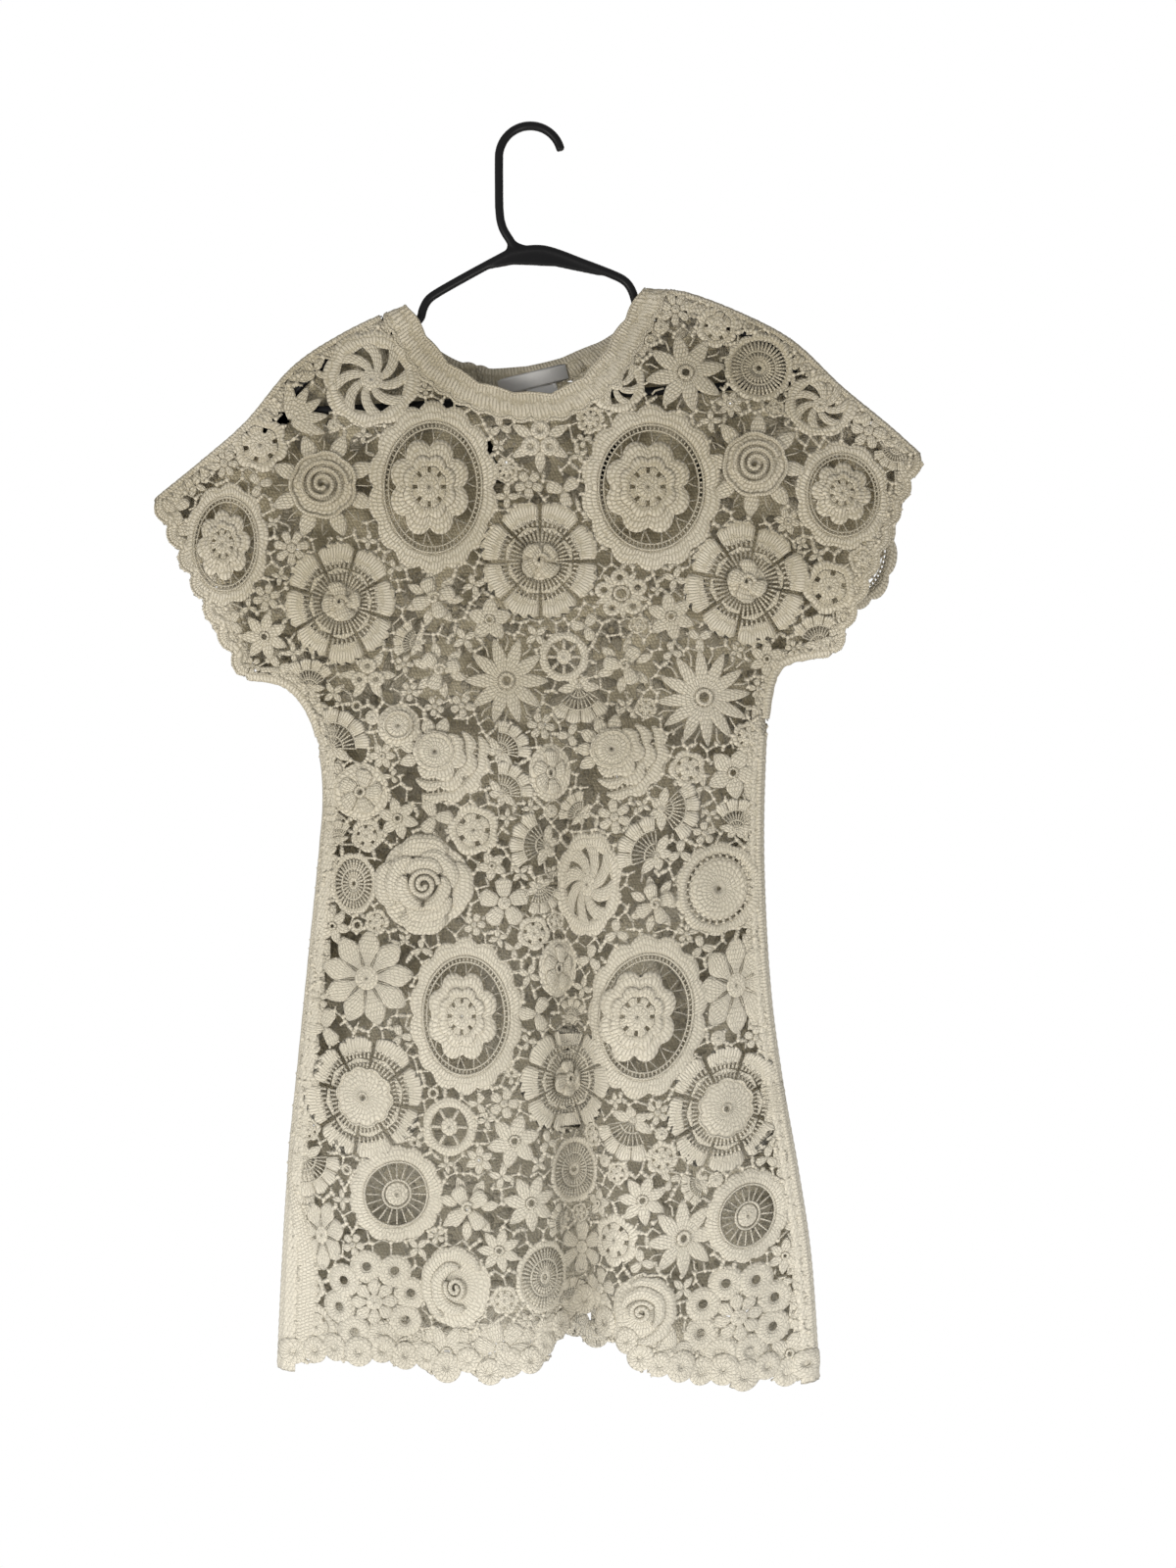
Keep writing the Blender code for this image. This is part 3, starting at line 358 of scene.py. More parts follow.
class Work:
    """Gathers closed forms as flat points (u, z, lift), stitch coordinates, quads and triangles."""

    def __init__(self, step=0.0024, yarn=1.0):
        self.step = step  # length of a face along a petal
        self.yarn = yarn  # how much thicker than the named widths the chains are
        self.points, self.stitch, self.quads, self.corners, self.count = [], [], [], [], 0

    def keep(self, points, stitch, quads, corners=()):
        self.points.append(points.reshape(-1, 3))
        self.stitch.append(stitch.reshape(-1, 3))
        self.quads.append(np.asarray(quads, int).reshape(-1, 4) + self.count)
        self.corners.append(np.asarray(corners, int).reshape(-1, 3) + self.count)
        self.count += len(self.points[-1])

    def patch(self, flat, lift, low, stitches, wrap=False):
        """A closed pad over a grid of flat places. lift is its height, low that of its two long edges and its
        flat underside, stitches the stitches across and down. wrap joins the last row to the first."""
        m, n = flat.shape[:2]
        top = np.concatenate([flat, np.broadcast_to(lift, (m, n))[..., None]], 2)
        stitch = np.stack(np.broadcast_arrays(*stitches, 0.0), -1)
        under = top[:, [0, -1]].copy()
        under[..., 2] = np.broadcast_to(low, (m, n))[:, [0, -1]]
        rows = rows_of(np.arange(m * n).reshape(m, n), wrap)
        rows_low = rows_of(m * n + np.arange(2 * m).reshape(m, 2), wrap)
        grid = np.hstack([rows_low[:, :1], rows, rows_low[:, 1:], rows_low[:, :1]])
        quads, ends = quads_of(grid), []
        if not wrap:
            for end, way in ((grid[0, :-1], 1), (grid[-1, :-1], -1)):
                ends += [(end[0], end[i], end[i + 1])[::way] for i in range(1, len(end) - 1)]
        ends = np.array(ends, int).reshape(-1, 3)
        face = flat.reshape(-1, 2)[quads_of(rows)]
        a, b = face[:, 2] - face[:, 0], face[:, 3] - face[:, 1]
        if (a[:, 0] * b[:, 1] - a[:, 1] * b[:, 0]).sum() < 0:
            quads, ends = quads[:, ::-1], ends[:, ::-1]
        both = [np.vstack([part.reshape(-1, 3), edge.reshape(-1, 3)])
                for part, edge in ((top, under), (stitch, stitch[:, [0, -1]]))]
        self.keep(*both, quads, ends)

    def bars(self, starts, ends, widths, middles=None, tall=None):
        """Many straight four-sided chains at once, which may swell to another width halfway."""
        way = ends - starts
        length = np.linalg.norm(way, axis=1)
        across = np.stack([-way[:, 1], way[:, 0]], 1) / length[:, None] / 2 * self.yarn
        widths = np.broadcast_to(widths, len(starts))
        stations = [(starts, widths), (ends, widths)]
        if middles is not None:
            stations.insert(1, ((starts + ends) / 2, middles))
        count, rows = len(starts), len(stations)
        tall = widths if tall is None else np.full(count, tall)
        rings = np.empty((count, rows, 4, 3))
        stitch = np.zeros((count, rows, 4, 3))
        stitch[..., 1] = np.arange(4) / 2
        for k, (middle, width) in enumerate(stations):
            stitch[:, k, :, 0] = (length * k / (rows - 1))[:, None] / STITCH * BAR_TWIST
            for j, (side, up) in enumerate(((1, 0), (0, 1), (-1, 0), (0, -1))):
                rings[:, k, j, :2] = middle + across * (side * width)[:, None]
                rings[:, k, j, 2] = GROUND - 0.0002 + tall / 2 * up
        corner = np.arange(count * rows * 4).reshape(count, rows, 4)
        turned = np.roll(corner, -1, axis=2)
        quads = np.stack([corner[:, :-1], turned[:, :-1], turned[:, 1:], corner[:, 1:]], -1).reshape(-1, 4)
        self.keep(rings, stitch, np.vstack([quads, corner[:, 0, ::-1], corner[:, -1]])[:, ::-1])

    def knots(self, places, size):
        """Little knots where the chains meet."""
        points = np.empty((len(places), 6, 3))
        for j, (du, dz) in enumerate(((1, 0), (0, 1), (-1, 0), (0, -1), (0, 0), (0, 0))):
            points[:, j, :2] = places + size * np.array([du, dz])
            points[:, j, 2] = GROUND + size * 0.8 * (0, 0, 0, 0, 1, -1)[j]
        corner = np.arange(len(places) * 6).reshape(-1, 6)
        faces = [corner[:, [j, (j + 1) % 4, 4]] for j in range(4)]
        faces += [corner[:, [(j + 1) % 4, j, 5]] for j in range(4)]
        self.keep(points, np.zeros(points.shape), (), np.vstack(faces))

    def cord(self, line, lift, width, height=None, closed=False, sides=4):
        """A round yarn along a flat line, its middle at lift."""
        line = np.asarray(line, float)
        count = len(line)
        lift, width = np.broadcast_to(lift, count), np.broadcast_to(width, count)
        height = width if height is None else np.broadcast_to(height, count)
        turns = 2 * math.pi * np.arange(sides) / sides
        reach = np.cos(turns)[None, :] * width[:, None] / 2
        side = line[:, None, :] + left_normal(line, closed)[:, None, :] * reach[..., None]
        up = lift[:, None] + np.sin(turns)[None, :] * height[:, None] / 2
        far = along(line)
        if closed:
            far = np.abs(far - far[-1] / 2)
        stitch = np.broadcast_arrays(far[:, None] / STITCH * BAR_TWIST, np.arange(sides) * 2.0 / sides, 0.0)
        points = np.concatenate([side, up[..., None]], 2)
        self.keep(points, np.stack(stitch, -1), *tube_faces(count, sides, closed))

    def spread(self, count=4):
        """Flat places all over the faces, about 1 mm apart."""
        flat = np.vstack(self.points)[:, :2][np.vstack(self.quads)]
        places = []
        for s in np.linspace(0, 1, count):
            low = flat[:, 0] * (1 - s) + flat[:, 1] * s
            high = flat[:, 3] * (1 - s) + flat[:, 2] * s
            places += [low * (1 - t) + high * t for t in np.linspace(0, 1, count)]
        return np.vstack(places)

    def made(self, name, cloth, look, slot="crochet_cotton"):
        """The work hung on its side of the dress, as a piece."""
        flat = np.vstack(self.points)
        view = cloth.to_view(flat[:, :2])
        stitch = np.vstack(self.stitch)
        # the fold's depth, which the cotton's colour darkens by as painted shade
        stitch[:, 2] = np.clip(folds_at(cloth.side, view[:, 0], view[:, 1]) / DEEPEST_FOLD, 0, 1)
        quads, corners = np.vstack(self.quads), np.vstack(self.corners)
        if cloth.side == "back":
            quads, corners = quads[:, ::-1], corners[:, ::-1]
        return piece_of(name, cloth.hang(flat), quads, corners, stitch, look)


def piece_of(name, points, quads, corners, stitch, look):
    """A piece from arrays. Its stitch attribute holds the stitches across and down, and the fold's depth."""
    mesh = bpy.data.meshes.new(name)
    mesh.vertices.add(len(points))
    mesh.vertices.foreach_set("co", points.astype(np.float32).ravel())
    sizes = np.concatenate([np.full(len(quads), 4), np.full(len(corners), 3)])
    mesh.loops.add(int(sizes.sum()))
    mesh.loops.foreach_set("vertex_index", np.concatenate([quads.ravel(), corners.ravel()]).astype(np.int32))
    mesh.polygons.add(len(sizes))
    mesh.polygons.foreach_set("loop_start", (np.cumsum(sizes) - sizes).astype(np.int32))
    mesh.update(calc_edges=True)
    layer = mesh.attributes.new("stitch", "FLOAT_VECTOR", "POINT")
    layer.data.foreach_set("vector", stitch.astype(np.float32).ravel())
    return placed(name, mesh, look)


def placed(name, mesh, look):
    """A piece with this mesh and material, smooth, on the only body."""
    mesh.polygons.foreach_set("use_smooth", np.ones(len(mesh.polygons), bool))
    mesh.materials.append(MATERIALS[look])
    piece = bpy.data.objects.new(name, mesh)
    bpy.context.scene.collection.objects.link(piece)
    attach(piece, "root")
    return piece


class Spot:
    """Where a motif lies: at() turns a part of its radius and an angle into flat points."""

    def __init__(self, centre, rx, rz, turn=0.0, seed=CENTRE_SEED):
        self.centre, self.rx, self.rz, self.turn = np.array(centre), rx, rz, turn
        self.size = (rx + rz) / 2
        self.pick = random.Random(seed)

    def at(self, radius, angle):
        radius, angle = np.broadcast_arrays(np.asarray(radius, float), np.asarray(angle, float) + self.turn)
        reach = [self.rx * radius * np.cos(angle), self.rz * radius * np.sin(angle)]
        return self.centre + np.stack(reach, -1)

    def xy(self, x, y):
        """Flat points from x and y as parts of the radius."""
        return self.at(np.hypot(x, y), np.arctan2(y, x))

    def inner(self, centre, part, turn=0.0):
        """A spot of a part of this one's size."""
        return Spot(centre, self.rx * part, self.rz * part, turn)


def around(work, spot, radius, least, spacing=1.25):
    """Angles of the steps round a circle of this part of the radius."""
    steps = max(int(2 * math.pi * radius * spot.size / (spacing * work.step)), least)
    return np.arange(steps) * 2 * math.pi / steps


def lobed(angle, lobes, power=0.75):
    return np.abs(np.sin(lobes * angle / 2)) ** power


def ring(work, spot, radius, width, lift=GROUND, lobes=0, depth=0.0, sides=6):
    """A round cord, with or without lobes."""
    angle = around(work, spot, radius, max(10, lobes * 4), 1.2)
    reach = radius + depth * lobed(angle, lobes, 0.8)
    work.cord(spot.at(reach, angle), lift, width, width * 0.9, closed=True, sides=sides)


def band(work, spot, inner, outer, base, rise, lobes=0, depth=0.0, notch=0.0, rows=5):
    """A dense ring of stitches worked outwards, its edge in lobes."""
    angle = around(work, spot, outer, max(16, lobes * 6))[:, None]
    part = np.linspace(0, 1, rows + 1)[None, :]
    far = outer + depth * lobed(angle, lobes)
    near = inner + notch * lobed(angle, lobes, 1)
    crease = 1 - 0.75 * part * (lobed(angle, lobes, 1) < 0.12) * (depth > 0)
    lift = base + rise * RELIEF * crease * (1 - 0.85 * np.abs(2 * part - 1) ** 6)
    stitches = (np.abs(angle - math.pi) * (inner + outer) / 2 * spot.size / STITCH,
                part * max(1, round((outer - inner) * spot.size / ROW)))
    work.patch(spot.at(near + (far - near) * part, angle), lift, base - PAD, stitches, wrap=True)


DISC_ROUNDS = np.array([[0.06, 0.25, 0.45, 0.65, 0.82, 0.94, 1.0]])


def disc(work, spot, radius, base, rise, lobes=0, depth=0.0, dimple=0.0):
    """A domed disc of rounds of stitches."""
    angle = around(work, spot, radius, max(12, lobes * 5))[:, None]
    far = radius + depth * lobed(angle, lobes)
    lift = base + rise * np.sqrt(1 - DISC_ROUNDS ** 3) - dimple * np.exp(-(DISC_ROUNDS / 0.22) ** 2)
    stitches = (np.abs(angle - math.pi) * radius * 0.6 * spot.size / STITCH,
                DISC_ROUNDS * max(2, round(radius * spot.size / ROW)))
    work.patch(spot.at(far * DISC_ROUNDS, angle), lift, base - PAD, stitches, wrap=True)


NARROW = 0.0026  # half width of a petal that has no shoulders
TIP_RIB = 0.0006  # height of the ribs on a wedge's tip


def petal(work, spot, angle, r0, r1, half, form="leaf", base=0.0006, rise=0.0014, curl=0.0, bend=0.0,
          groove=0.5, ribs=0):
    """A petal from r0 to r1. half is its greatest half width as a part of the radius, or its half angle where
    it is a wedge. curl lifts its tip, bend swings it round, groove sinks its midrib."""
    length = (r1 - r0) * spot.size
    part = np.linspace(0, 1, int(np.clip(length / work.step, 4, 10)) + 1)[:, None]
    wedge = form == "wedge"
    shoulder = 0.90 if wedge else 0.62
    across = np.array([[-1, -shoulder, 0, shoulder, 1] if half * spot.size > NARROW else [-1, 0, 1]])
    if ribs:
        across = np.linspace(-1, 1, 2 * ribs + 1)[None, :]
    rise = rise * RELIEF
    radius = r0 + (r1 - r0) * part
    middle = angle + bend * part
    if wedge:
        flat = spot.at(radius * (1 - 0.09 * np.abs(across) ** 3 * part), middle + half * across)
        size = r1 * half * 2
        round_off = 1 - 0.55 * (np.abs(across) == 1) - 0.35 * np.abs(2 * part - 1) ** 8
    else:
        if form == "leaf":
            wide = half * np.sin(math.pi * np.clip(part * 0.94 + 0.04, 0, 1) ** 0.85) ** 0.8
        elif form == "drop":
            wide = half * (0.24 + 0.76 * smooth(part, 0.0, 0.62)) * np.clip((1.02 - part) / 0.36, 0, 1) ** 0.6
        else:
            wide = half * np.sqrt(np.clip(1 - (1.94 * part - 0.97) ** 4, 0, 1)) * (0.5 + 0.5 * part)
        flat = spot.xy(radius * np.cos(middle) - wide * across * np.sin(middle),
                       radius * np.sin(middle) + wide * across * np.cos(middle))
        size = half * 2
        round_off = np.sqrt(1 - 0.9 * np.abs(across) ** 5) * np.clip(9 * part * (1.05 - part) + 0.2, 0, 1)
    sunk = groove * rise * np.exp(-(across / 0.22) ** 2) * (part < 0.95)
    lift = base + rise * round_off - sunk + curl * part ** 2
    if ribs:
        lift = lift - TIP_RIB * np.cos(math.pi * np.arange(2 * ribs + 1))[None, :]
    stitches = (across * size * spot.size / STITCH / 2 + 50, part * length / (ROW * (3 if wedge else 1)))
    work.patch(flat, lift, base - PAD + curl * part ** 2, stitches)


def petals(work, spot, count, *shape, first=0.0, **more):
    """Petals all round, the first at this part of a step."""
    for i in range(count):
        petal(work, spot, 2 * math.pi * (i + first) / count, *shape, **more)


def coil(work, spot, radius, turns, width, base, rise):
    """A raised cord wound in a spiral, highest in the middle."""
    part = np.linspace(0, 1, int(turns * 16) + 1)
    line = spot.at(radius * (1 - part * 0.86), turns * 2 * math.pi * part)
    work.cord(line, base + rise * part, width, width * 1.1, sides=6)


# ---------------------------------------------------------------- motifs
BLADE_GROWTH = 1000  # a swirl's blades widen by this for each metre of its rise
FLOWER_SHIFT = 80  # a medallion's flower lies off its middle by this for each metre of its rise


def swirl(work, spot, count, rise):
    """A pinwheel: curved blades with crescent gaps inside a lobed rim."""
    count += 2
    half = (1.32 + rise * BLADE_GROWTH) / count
    petals(work, spot, count, 0.16, 0.84, half, "round", 0.0008, 0.0018, bend=0.85, groove=0.2)
    band(work, spot, 0.73, 0.93, 0.0009, 0.0016, lobes=count, depth=0.10, notch=-0.05, rows=4)
    disc(work, spot, 0.24, 0.0010, 0.0018, dimple=0.0008)


def comb(work, spot, r0, r1, pitch, width):
    """Short threads set close round a ring."""
    count = int(2 * math.pi * r1 * spot.size / pitch)
    threads(work, spot, r0, r1, np.arange(count) * 2 * math.pi / count, width)


def threads(work, spot, r0, r1, angle, width):
    work.bars(spot.at(r0, angle), spot.at(r1, angle), width)


def lobed_flower(work, spot, reach, lobes, base):
    """A puffy flower with round lobes and a ring of small holes."""
    band(work, spot, reach * 0.65, reach * 0.88, base, 0.0016, lobes=lobes, depth=reach * 0.18, rows=3)
    half = 0.72 * math.pi / lobes
    petals(work, spot, lobes, reach * 0.42, reach * 0.70, half, "wedge", base, groove=0.3, first=0.5)
    disc(work, spot, reach * 0.46, base, 0.0018, lobes=lobes, depth=reach * 0.03, dimple=0.0010)


def medallion(work, spot, count, rise):
    """A wide scalloped oval, a comb of threads and a raised flower of two tiers in an open middle."""
    band(work, spot, 0.76, 0.93, 0.0008, 0.0015, lobes=count, depth=0.09, rows=5)
    ring(work, spot, 0.76, 0.0018, 0.0019)
    comb(work, spot, 0.695, 0.76, 0.0040, 0.0016)
    ring(work, spot, 0.69, 0.0014, 0.0014)
    flower = Spot(spot.xy(-rise * FLOWER_SHIFT, 0.0), spot.rx * 0.60, spot.rz * 0.55, spot.turn)
    angle = np.arange(2 * count) * math.pi / count
    work.bars(spot.at(0.69, angle), flower.at(0.85, angle + np.tile([0.16, -0.16], count)), YARN)
    band(work, flower, 0.50, 0.86, 0.0022 + rise, 0.0018, lobes=8, depth=0.20, rows=4)
    lobed_flower(work, flower, 0.66, 8, 0.0044 + rise)


def fan_petal(work, spot, a, half, inner, posts):
    """A wedge petal: long threads, a narrow band, a row of short posts and a ribbed tip."""
    slip = spot.pick.uniform(-0.035, 0.035)
    first, second = inner + 0.12 + slip, inner + 0.28 + slip
    for r0, r1, number in ((inner - 0.08, first + 0.01, posts), (first + 0.06, second + 0.01, posts + 1)):
        threads(work, spot, r0, r1, np.linspace(a - half * 0.88, a + half * 0.88, number), 0.0021)
    petal(work, spot, a, first, first + 0.08, half, "wedge", 0.0007, 0.0009, groove=0)
    petal(work, spot, a, second, 1.02 + slip, half, "wedge", 0.0009, 0.0013, groove=0, ribs=4)


def knot(work, spot, radius, base, rise):
    """A bunched flower centre: puffy petals that lean over one another and a curl on top."""
    middle = Spot(spot.centre, radius * spot.size, radius * spot.size)
    disc(work, middle, 0.84, base - 0.0012, 0.0018, lobes=6, depth=0.10)
    first = spot.centre[0] * 40
    for i in range(4):
        a = math.pi * (i + spot.pick.uniform(-0.15, 0.15)) / 2 + first
        petal(work, middle, a, 0.04, spot.pick.uniform(0.90, 1.12), 0.50, "round", base + 0.0014 * (i % 2),
              rise + 0.0016, curl=0.0012, bend=0.5)
    coil(work, middle, 0.36, 1.2, 0.0046, base + rise * 1.05, 0.0010)


def fan(work, spot, count, rise):
    """Flat wedge petals hung on threads round a bunched centre."""
    step = 2 * math.pi / count
    ring(work, spot, 0.24, 0.0024)
    for i in range(count):
        threads(work, spot, 0.22, 0.44, step * i + step * np.array([-0.40, -0.20, 0.0, 0.20, 0.40]), 0.0017)
        fan_petal(work, spot, step * i, step * 0.455, 0.40, 5)
    knot(work, spot, 0.34, 0.0026, rise)


def disc_fan(work, spot, count, rise):
    """The large fan flower with a plain disc in the middle."""
    step = 2 * math.pi / count
    for i in range(count):
        fan_petal(work, spot, step * i, step * 0.450, 0.48, 6)
    disc(work, spot, 0.45, 0.0018, 0.0018, lobes=10, depth=0.05, dimple=0.0006)
    ring(work, spot, 0.43, 0.0018, 0.0026, lobes=10, depth=0.05)
    ring(work, spot, 0.07, 0.0018, 0.0036)


def daisy(work, spot, count, rise):
    """Long grooved petals from a small ring, their tips caught by a round of chain."""
    ring(work, spot, 0.15, 0.0034, 0.0018)
    petals(work, spot, count, 0.17, 1.03, 1.62 / count, "leaf", 0.0007, 0.0015, groove=0.9)
    for b in 2 * math.pi * np.arange(count) / count + math.pi / count:
        work.cord(spot.at([0.70, 0.92, 1.04], [b + 0.05, b - 0.04, b]), GROUND, YARN * 1.3)


def star(work, spot, count, rise):
    """A star: bundles of thread that widen to pointed petals joined side by side, round a small disc."""
    disc(work, spot, 0.27, 0.0008, 0.0016, dimple=0.0012)
    petals(work, spot, count, 0.22, 1.04, 2.25 / count, "drop", 0.0007, groove=0.7)
    threads(work, spot, 0.24, 0.52, 2 * math.pi * np.arange(count) / count + math.pi / count, YARN * 0.8)


def sun(work, spot, count, rise):
    """A dense disc of radial stitches in a ring of eyelets with a lobed edge."""
    band(work, spot, 0.05, 0.70, 0.0010, 0.0014, rows=6)
    comb(work, spot, 0.68, 0.78, 0.0064, 0.0026)
    band(work, spot, 0.76, 0.96, 0.0008, 0.0015, lobes=count, depth=0.08, rows=3)


def wheel(work, spot, count, rise):
    """A spoked wheel in a wide scalloped rim."""
    band(work, spot, 0.66, 0.95, 0.0007, 0.0018, lobes=count, depth=0.06, rows=5)
    ring(work, spot, 0.66, 0.0017, 0.0018)
    comb(work, spot, 0.27, 0.66, 0.0072 * spot.size / 0.036, 0.0015)
    ring(work, spot, 0.29, 0.0020, 0.0014)
    disc(work, spot, 0.24, 0.0008, 0.0016, dimple=0.0005)
    ring(work, spot, 0.07, 0.0016, 0.0022)


def lace_wheel(work, spot, count, rise):
    """A dense wheel of many spokes between firm rings."""
    band(work, spot, 0.80, 0.96, 0.0007, 0.0016, lobes=count, depth=0.06, rows=2)
    ring(work, spot, 0.50, 0.0017, 0.0014)
    comb(work, spot, 0.50, 0.81, 0.0036, 0.0022)
    comb(work, spot, 0.20, 0.50, 0.0033, 0.0022)
    band(work, spot, 0.08, 0.22, 0.0008, 0.0014, rows=2)


def rosette(work, spot, count, rise):
    """A wound coil among pointed leaves."""
    petals(work, spot, count, 0.50, 1.0, 0.15, first=0.5)
    for i in range(count):
        b = 2 * math.pi * (i + 0.5) / count + math.pi / count
        work.cord(spot.at([0.58, 0.80, 0.92, 0.80], [b, b - 0.02, b, b + 0.12]), GROUND, YARN)
    disc(work, spot, 0.58, 0.0012, 0.0012, lobes=7, depth=0.05)
    ring(work, spot, 0.56, 0.0030, 0.0030, lobes=7, depth=0.04, sides=8)
    coil(work, spot, 0.45, 2.9, 0.0034, 0.0036, rise)


def shamrock(work, spot, count, rise):
    """Three raised rings on pointed leaves."""
    petals(work, spot, count, 0.28, 1.0, 0.17, first=0.5)
    for i in range(3):
        middle = spot.at(0.34, math.pi / 2 + 2 * math.pi * i / 3 - spot.turn)
        band(work, spot.inner(middle, 0.30), 0.30, 1.0, 0.0020, 0.0020, rows=4)


def bow(work, spot, count, rise):
    """Puffy lobes round a pinched middle."""
    petals(work, spot, count + 3, 0.40, 1.0, 0.17, "leaf", 0.0006, 0.0012, groove=0.4, first=0.5)
    for i in range(count):
        a = 2 * math.pi * i / count + spot.pick.uniform(-0.15, 0.15)
        petal(work, spot, a, 0.08, 0.74, 0.30, "round", 0.0022, 0.0030, curl=rise * 0.35, groove=0.25)
    coil(work, spot, 0.20, 1.3, 0.0034, 0.0044, rise * 0.4)


def crescent(work, spot, inner, outer, a0, a1, base, rise, lobes=3, depth=0.05):
    """Part of a band with a lobed outer edge and drawn-in ends."""
    steps = max(10, int(abs(a1 - a0) * outer * spot.size / 0.0031))
    part = np.linspace(0, 1, steps + 1)[:, None]
    across = np.linspace(0, 1, 5)[None, :]
    taper = np.sin(math.pi * np.clip(part, 0.03, 0.97)) ** 0.4
    far = outer + depth * np.abs(np.sin(lobes * math.pi * part)) ** 0.75
    middle = (inner + outer) / 2
    radius = middle + ((inner + (far - inner) * across) - middle) * taper
    angle = a0 + (a1 - a0) * part
    lift = base + rise * (0.45 + 0.55 * across) * np.sqrt(np.clip(1.04 - np.abs(2 * across - 1) ** 3, 0, 1))
    stitches = (angle * middle * spot.size / STITCH,
                across * max(1, round((outer - inner) * spot.size / ROW)))
    work.patch(spot.at(radius, angle), lift, base - PAD, stitches)


def rose(work, spot, count, rise):
    """Tiers of overlapping ruffled petals round a wound middle."""
    disc(work, spot, 0.88, 0.0006, 0.0010, lobes=7, depth=0.06)
    for tier, (reach, number, base) in enumerate(((0.97, 4, 0.0012), (0.72, 3, 0.0030), (0.52, 3, 0.0048))):
        half = 2.1 / number * (1.15 + 0.1 * tier)
        for i in range(number):
            a = 2 * math.pi * (i + 0.37 * tier) / number
            low = base + 0.0006 * (i % 2)
            crescent(work, spot, reach * 0.52, reach, a - half, a + half, low, 0.0026, lobes=2)
    coil(work, spot, 0.30, 2.0, 0.0044, 0.0062, 0.0026)


def shell(work, spot, count, rise):
    """A disc over three tiers of scalloped shell that fan from one side of it, and leaves on the other."""
    aim = -0.75
    middle = spot.inner(spot.at(0.26, aim + math.pi - spot.turn), 1.0, spot.turn)
    for i in range(5):
        petal(work, middle, aim + math.pi + 0.55 * (i - 2), 0.40, 0.82, 0.15, rise=0.0013)
    for inner, outer, reach, base, lobes in ((0.92, 1.14, 1.10, 0.0007, 5), (0.66, 0.84, 1.40, 0.0020, 4),
                                             (0.40, 0.58, 1.65, 0.0032, 4)):
        crescent(work, middle, inner, outer, aim - reach, aim + reach, base, 0.0018, lobes, 0.16)
        angle = np.arange(aim - reach * 0.9, aim + reach * 0.9, 0.13)
        threads(work, middle, inner - 0.12, inner + 0.04, angle, 0.0021)
    disc(work, middle, 0.46, 0.0036, 0.0016, lobes=9, depth=0.02, dimple=0.0016)
    ring(work, middle, 0.39, 0.0022, 0.0046)


def button(work, spot, count, rise):
    """A small puffy disc."""
    disc(work, spot, 0.98, 0.0008, 0.0016, lobes=8, depth=0.04)
    disc(work, spot, 0.66, 0.0022, rise * 0.7, dimple=0.0012)
    ring(work, spot, 0.62, 0.0024, 0.0034 + rise * 0.2)


def cup(work, spot, count, rise):
    """A cupped rosette with a raised lip."""
    disc(work, spot, 0.98, 0.0008, 0.0016, lobes=6, depth=0.05)
    for i in range(5):
        petal(work, spot, 2 * math.pi * i / 5 + spot.pick.uniform(-0.2, 0.2), 0.16, 0.80, 0.34, "round",
              0.0024 + 0.0008 * (i % 2), 0.0022, bend=0.3, groove=0.2)
    ring(work, spot, 0.16, 0.0026, 0.0034)


def eyelets(work, spot, count, rise):
    """A scalloped disc with a ring of eyelets."""
    band(work, spot, 0.66, 0.95, 0.0010, 0.0020, lobes=count, depth=0.06, rows=4)
    for angle in 2 * math.pi * np.arange(count) / count:
        work.cord(spot.at(np.linspace(0.30, 0.68, 3), angle), 0.0020, 0.0030)
    disc(work, spot, 0.32, 0.0010, 0.0022, dimple=0.0008)


def ringed(work, spot, count, rise):
    """A small daisy in a ring of eyelets, ringed by round lobes with a hole each."""
    petals(work, spot, count, 0.10, 0.48, 0.13, "drop", 0.0008)
    for i in range(count):
        lobe = spot.inner(spot.at(0.74, 2 * math.pi * i / count + 0.2), 0.34)
        band(work, lobe, 0.26, 1.0, 0.0006 + 0.0004 * (i % 2), 0.0014, rows=3)
    comb(work, spot, 0.44, 0.52, 0.0050, 0.0018)
    disc(work, spot, 0.16, 0.0012, 0.0014)


def cluster(work, spot, count, rise):
    """Small rings and leaves round a middle ring."""
    for i in range(count):
        a = 2 * math.pi * i / count
        band(work, spot.inner(spot.at(0.62, a), 0.33), 0.34, 1.0, 0.0008, 0.0018, rows=3)
        petal(work, spot, a + math.pi / count, 0.3, 1.0, 0.13, rise=0.0013, groove=0.3)
    ring(work, spot, 0.24, 0.0026, 0.0020)


def scroll(work, spot, count, rise):
    """A small shell wound once round a coil."""
    disc(work, spot, 0.94, 0.0006, 0.0012, lobes=7, depth=0.06)
    crescent(work, spot, 0.60, 0.98, -2.0, 1.6, 0.0018, 0.0026, lobes=6, depth=0.06)
    crescent(work, spot, 0.34, 0.66, -1.2, 2.6, 0.0034, 0.0024, lobes=4)
    coil(work, spot, 0.30, 1.8, 0.0038, 0.0044, rise * 0.6)


def leaf_spray(work, spot, count, rise):
    """Leaves fanned from one point."""
    start = spot.inner(spot.xy(-0.75, 0.0), 1.0, spot.turn)
    for i in range(count):
        petal(work, start, 2.4 * ((i + 0.5) / count - 0.5), 0.06, 1.5, 0.24)


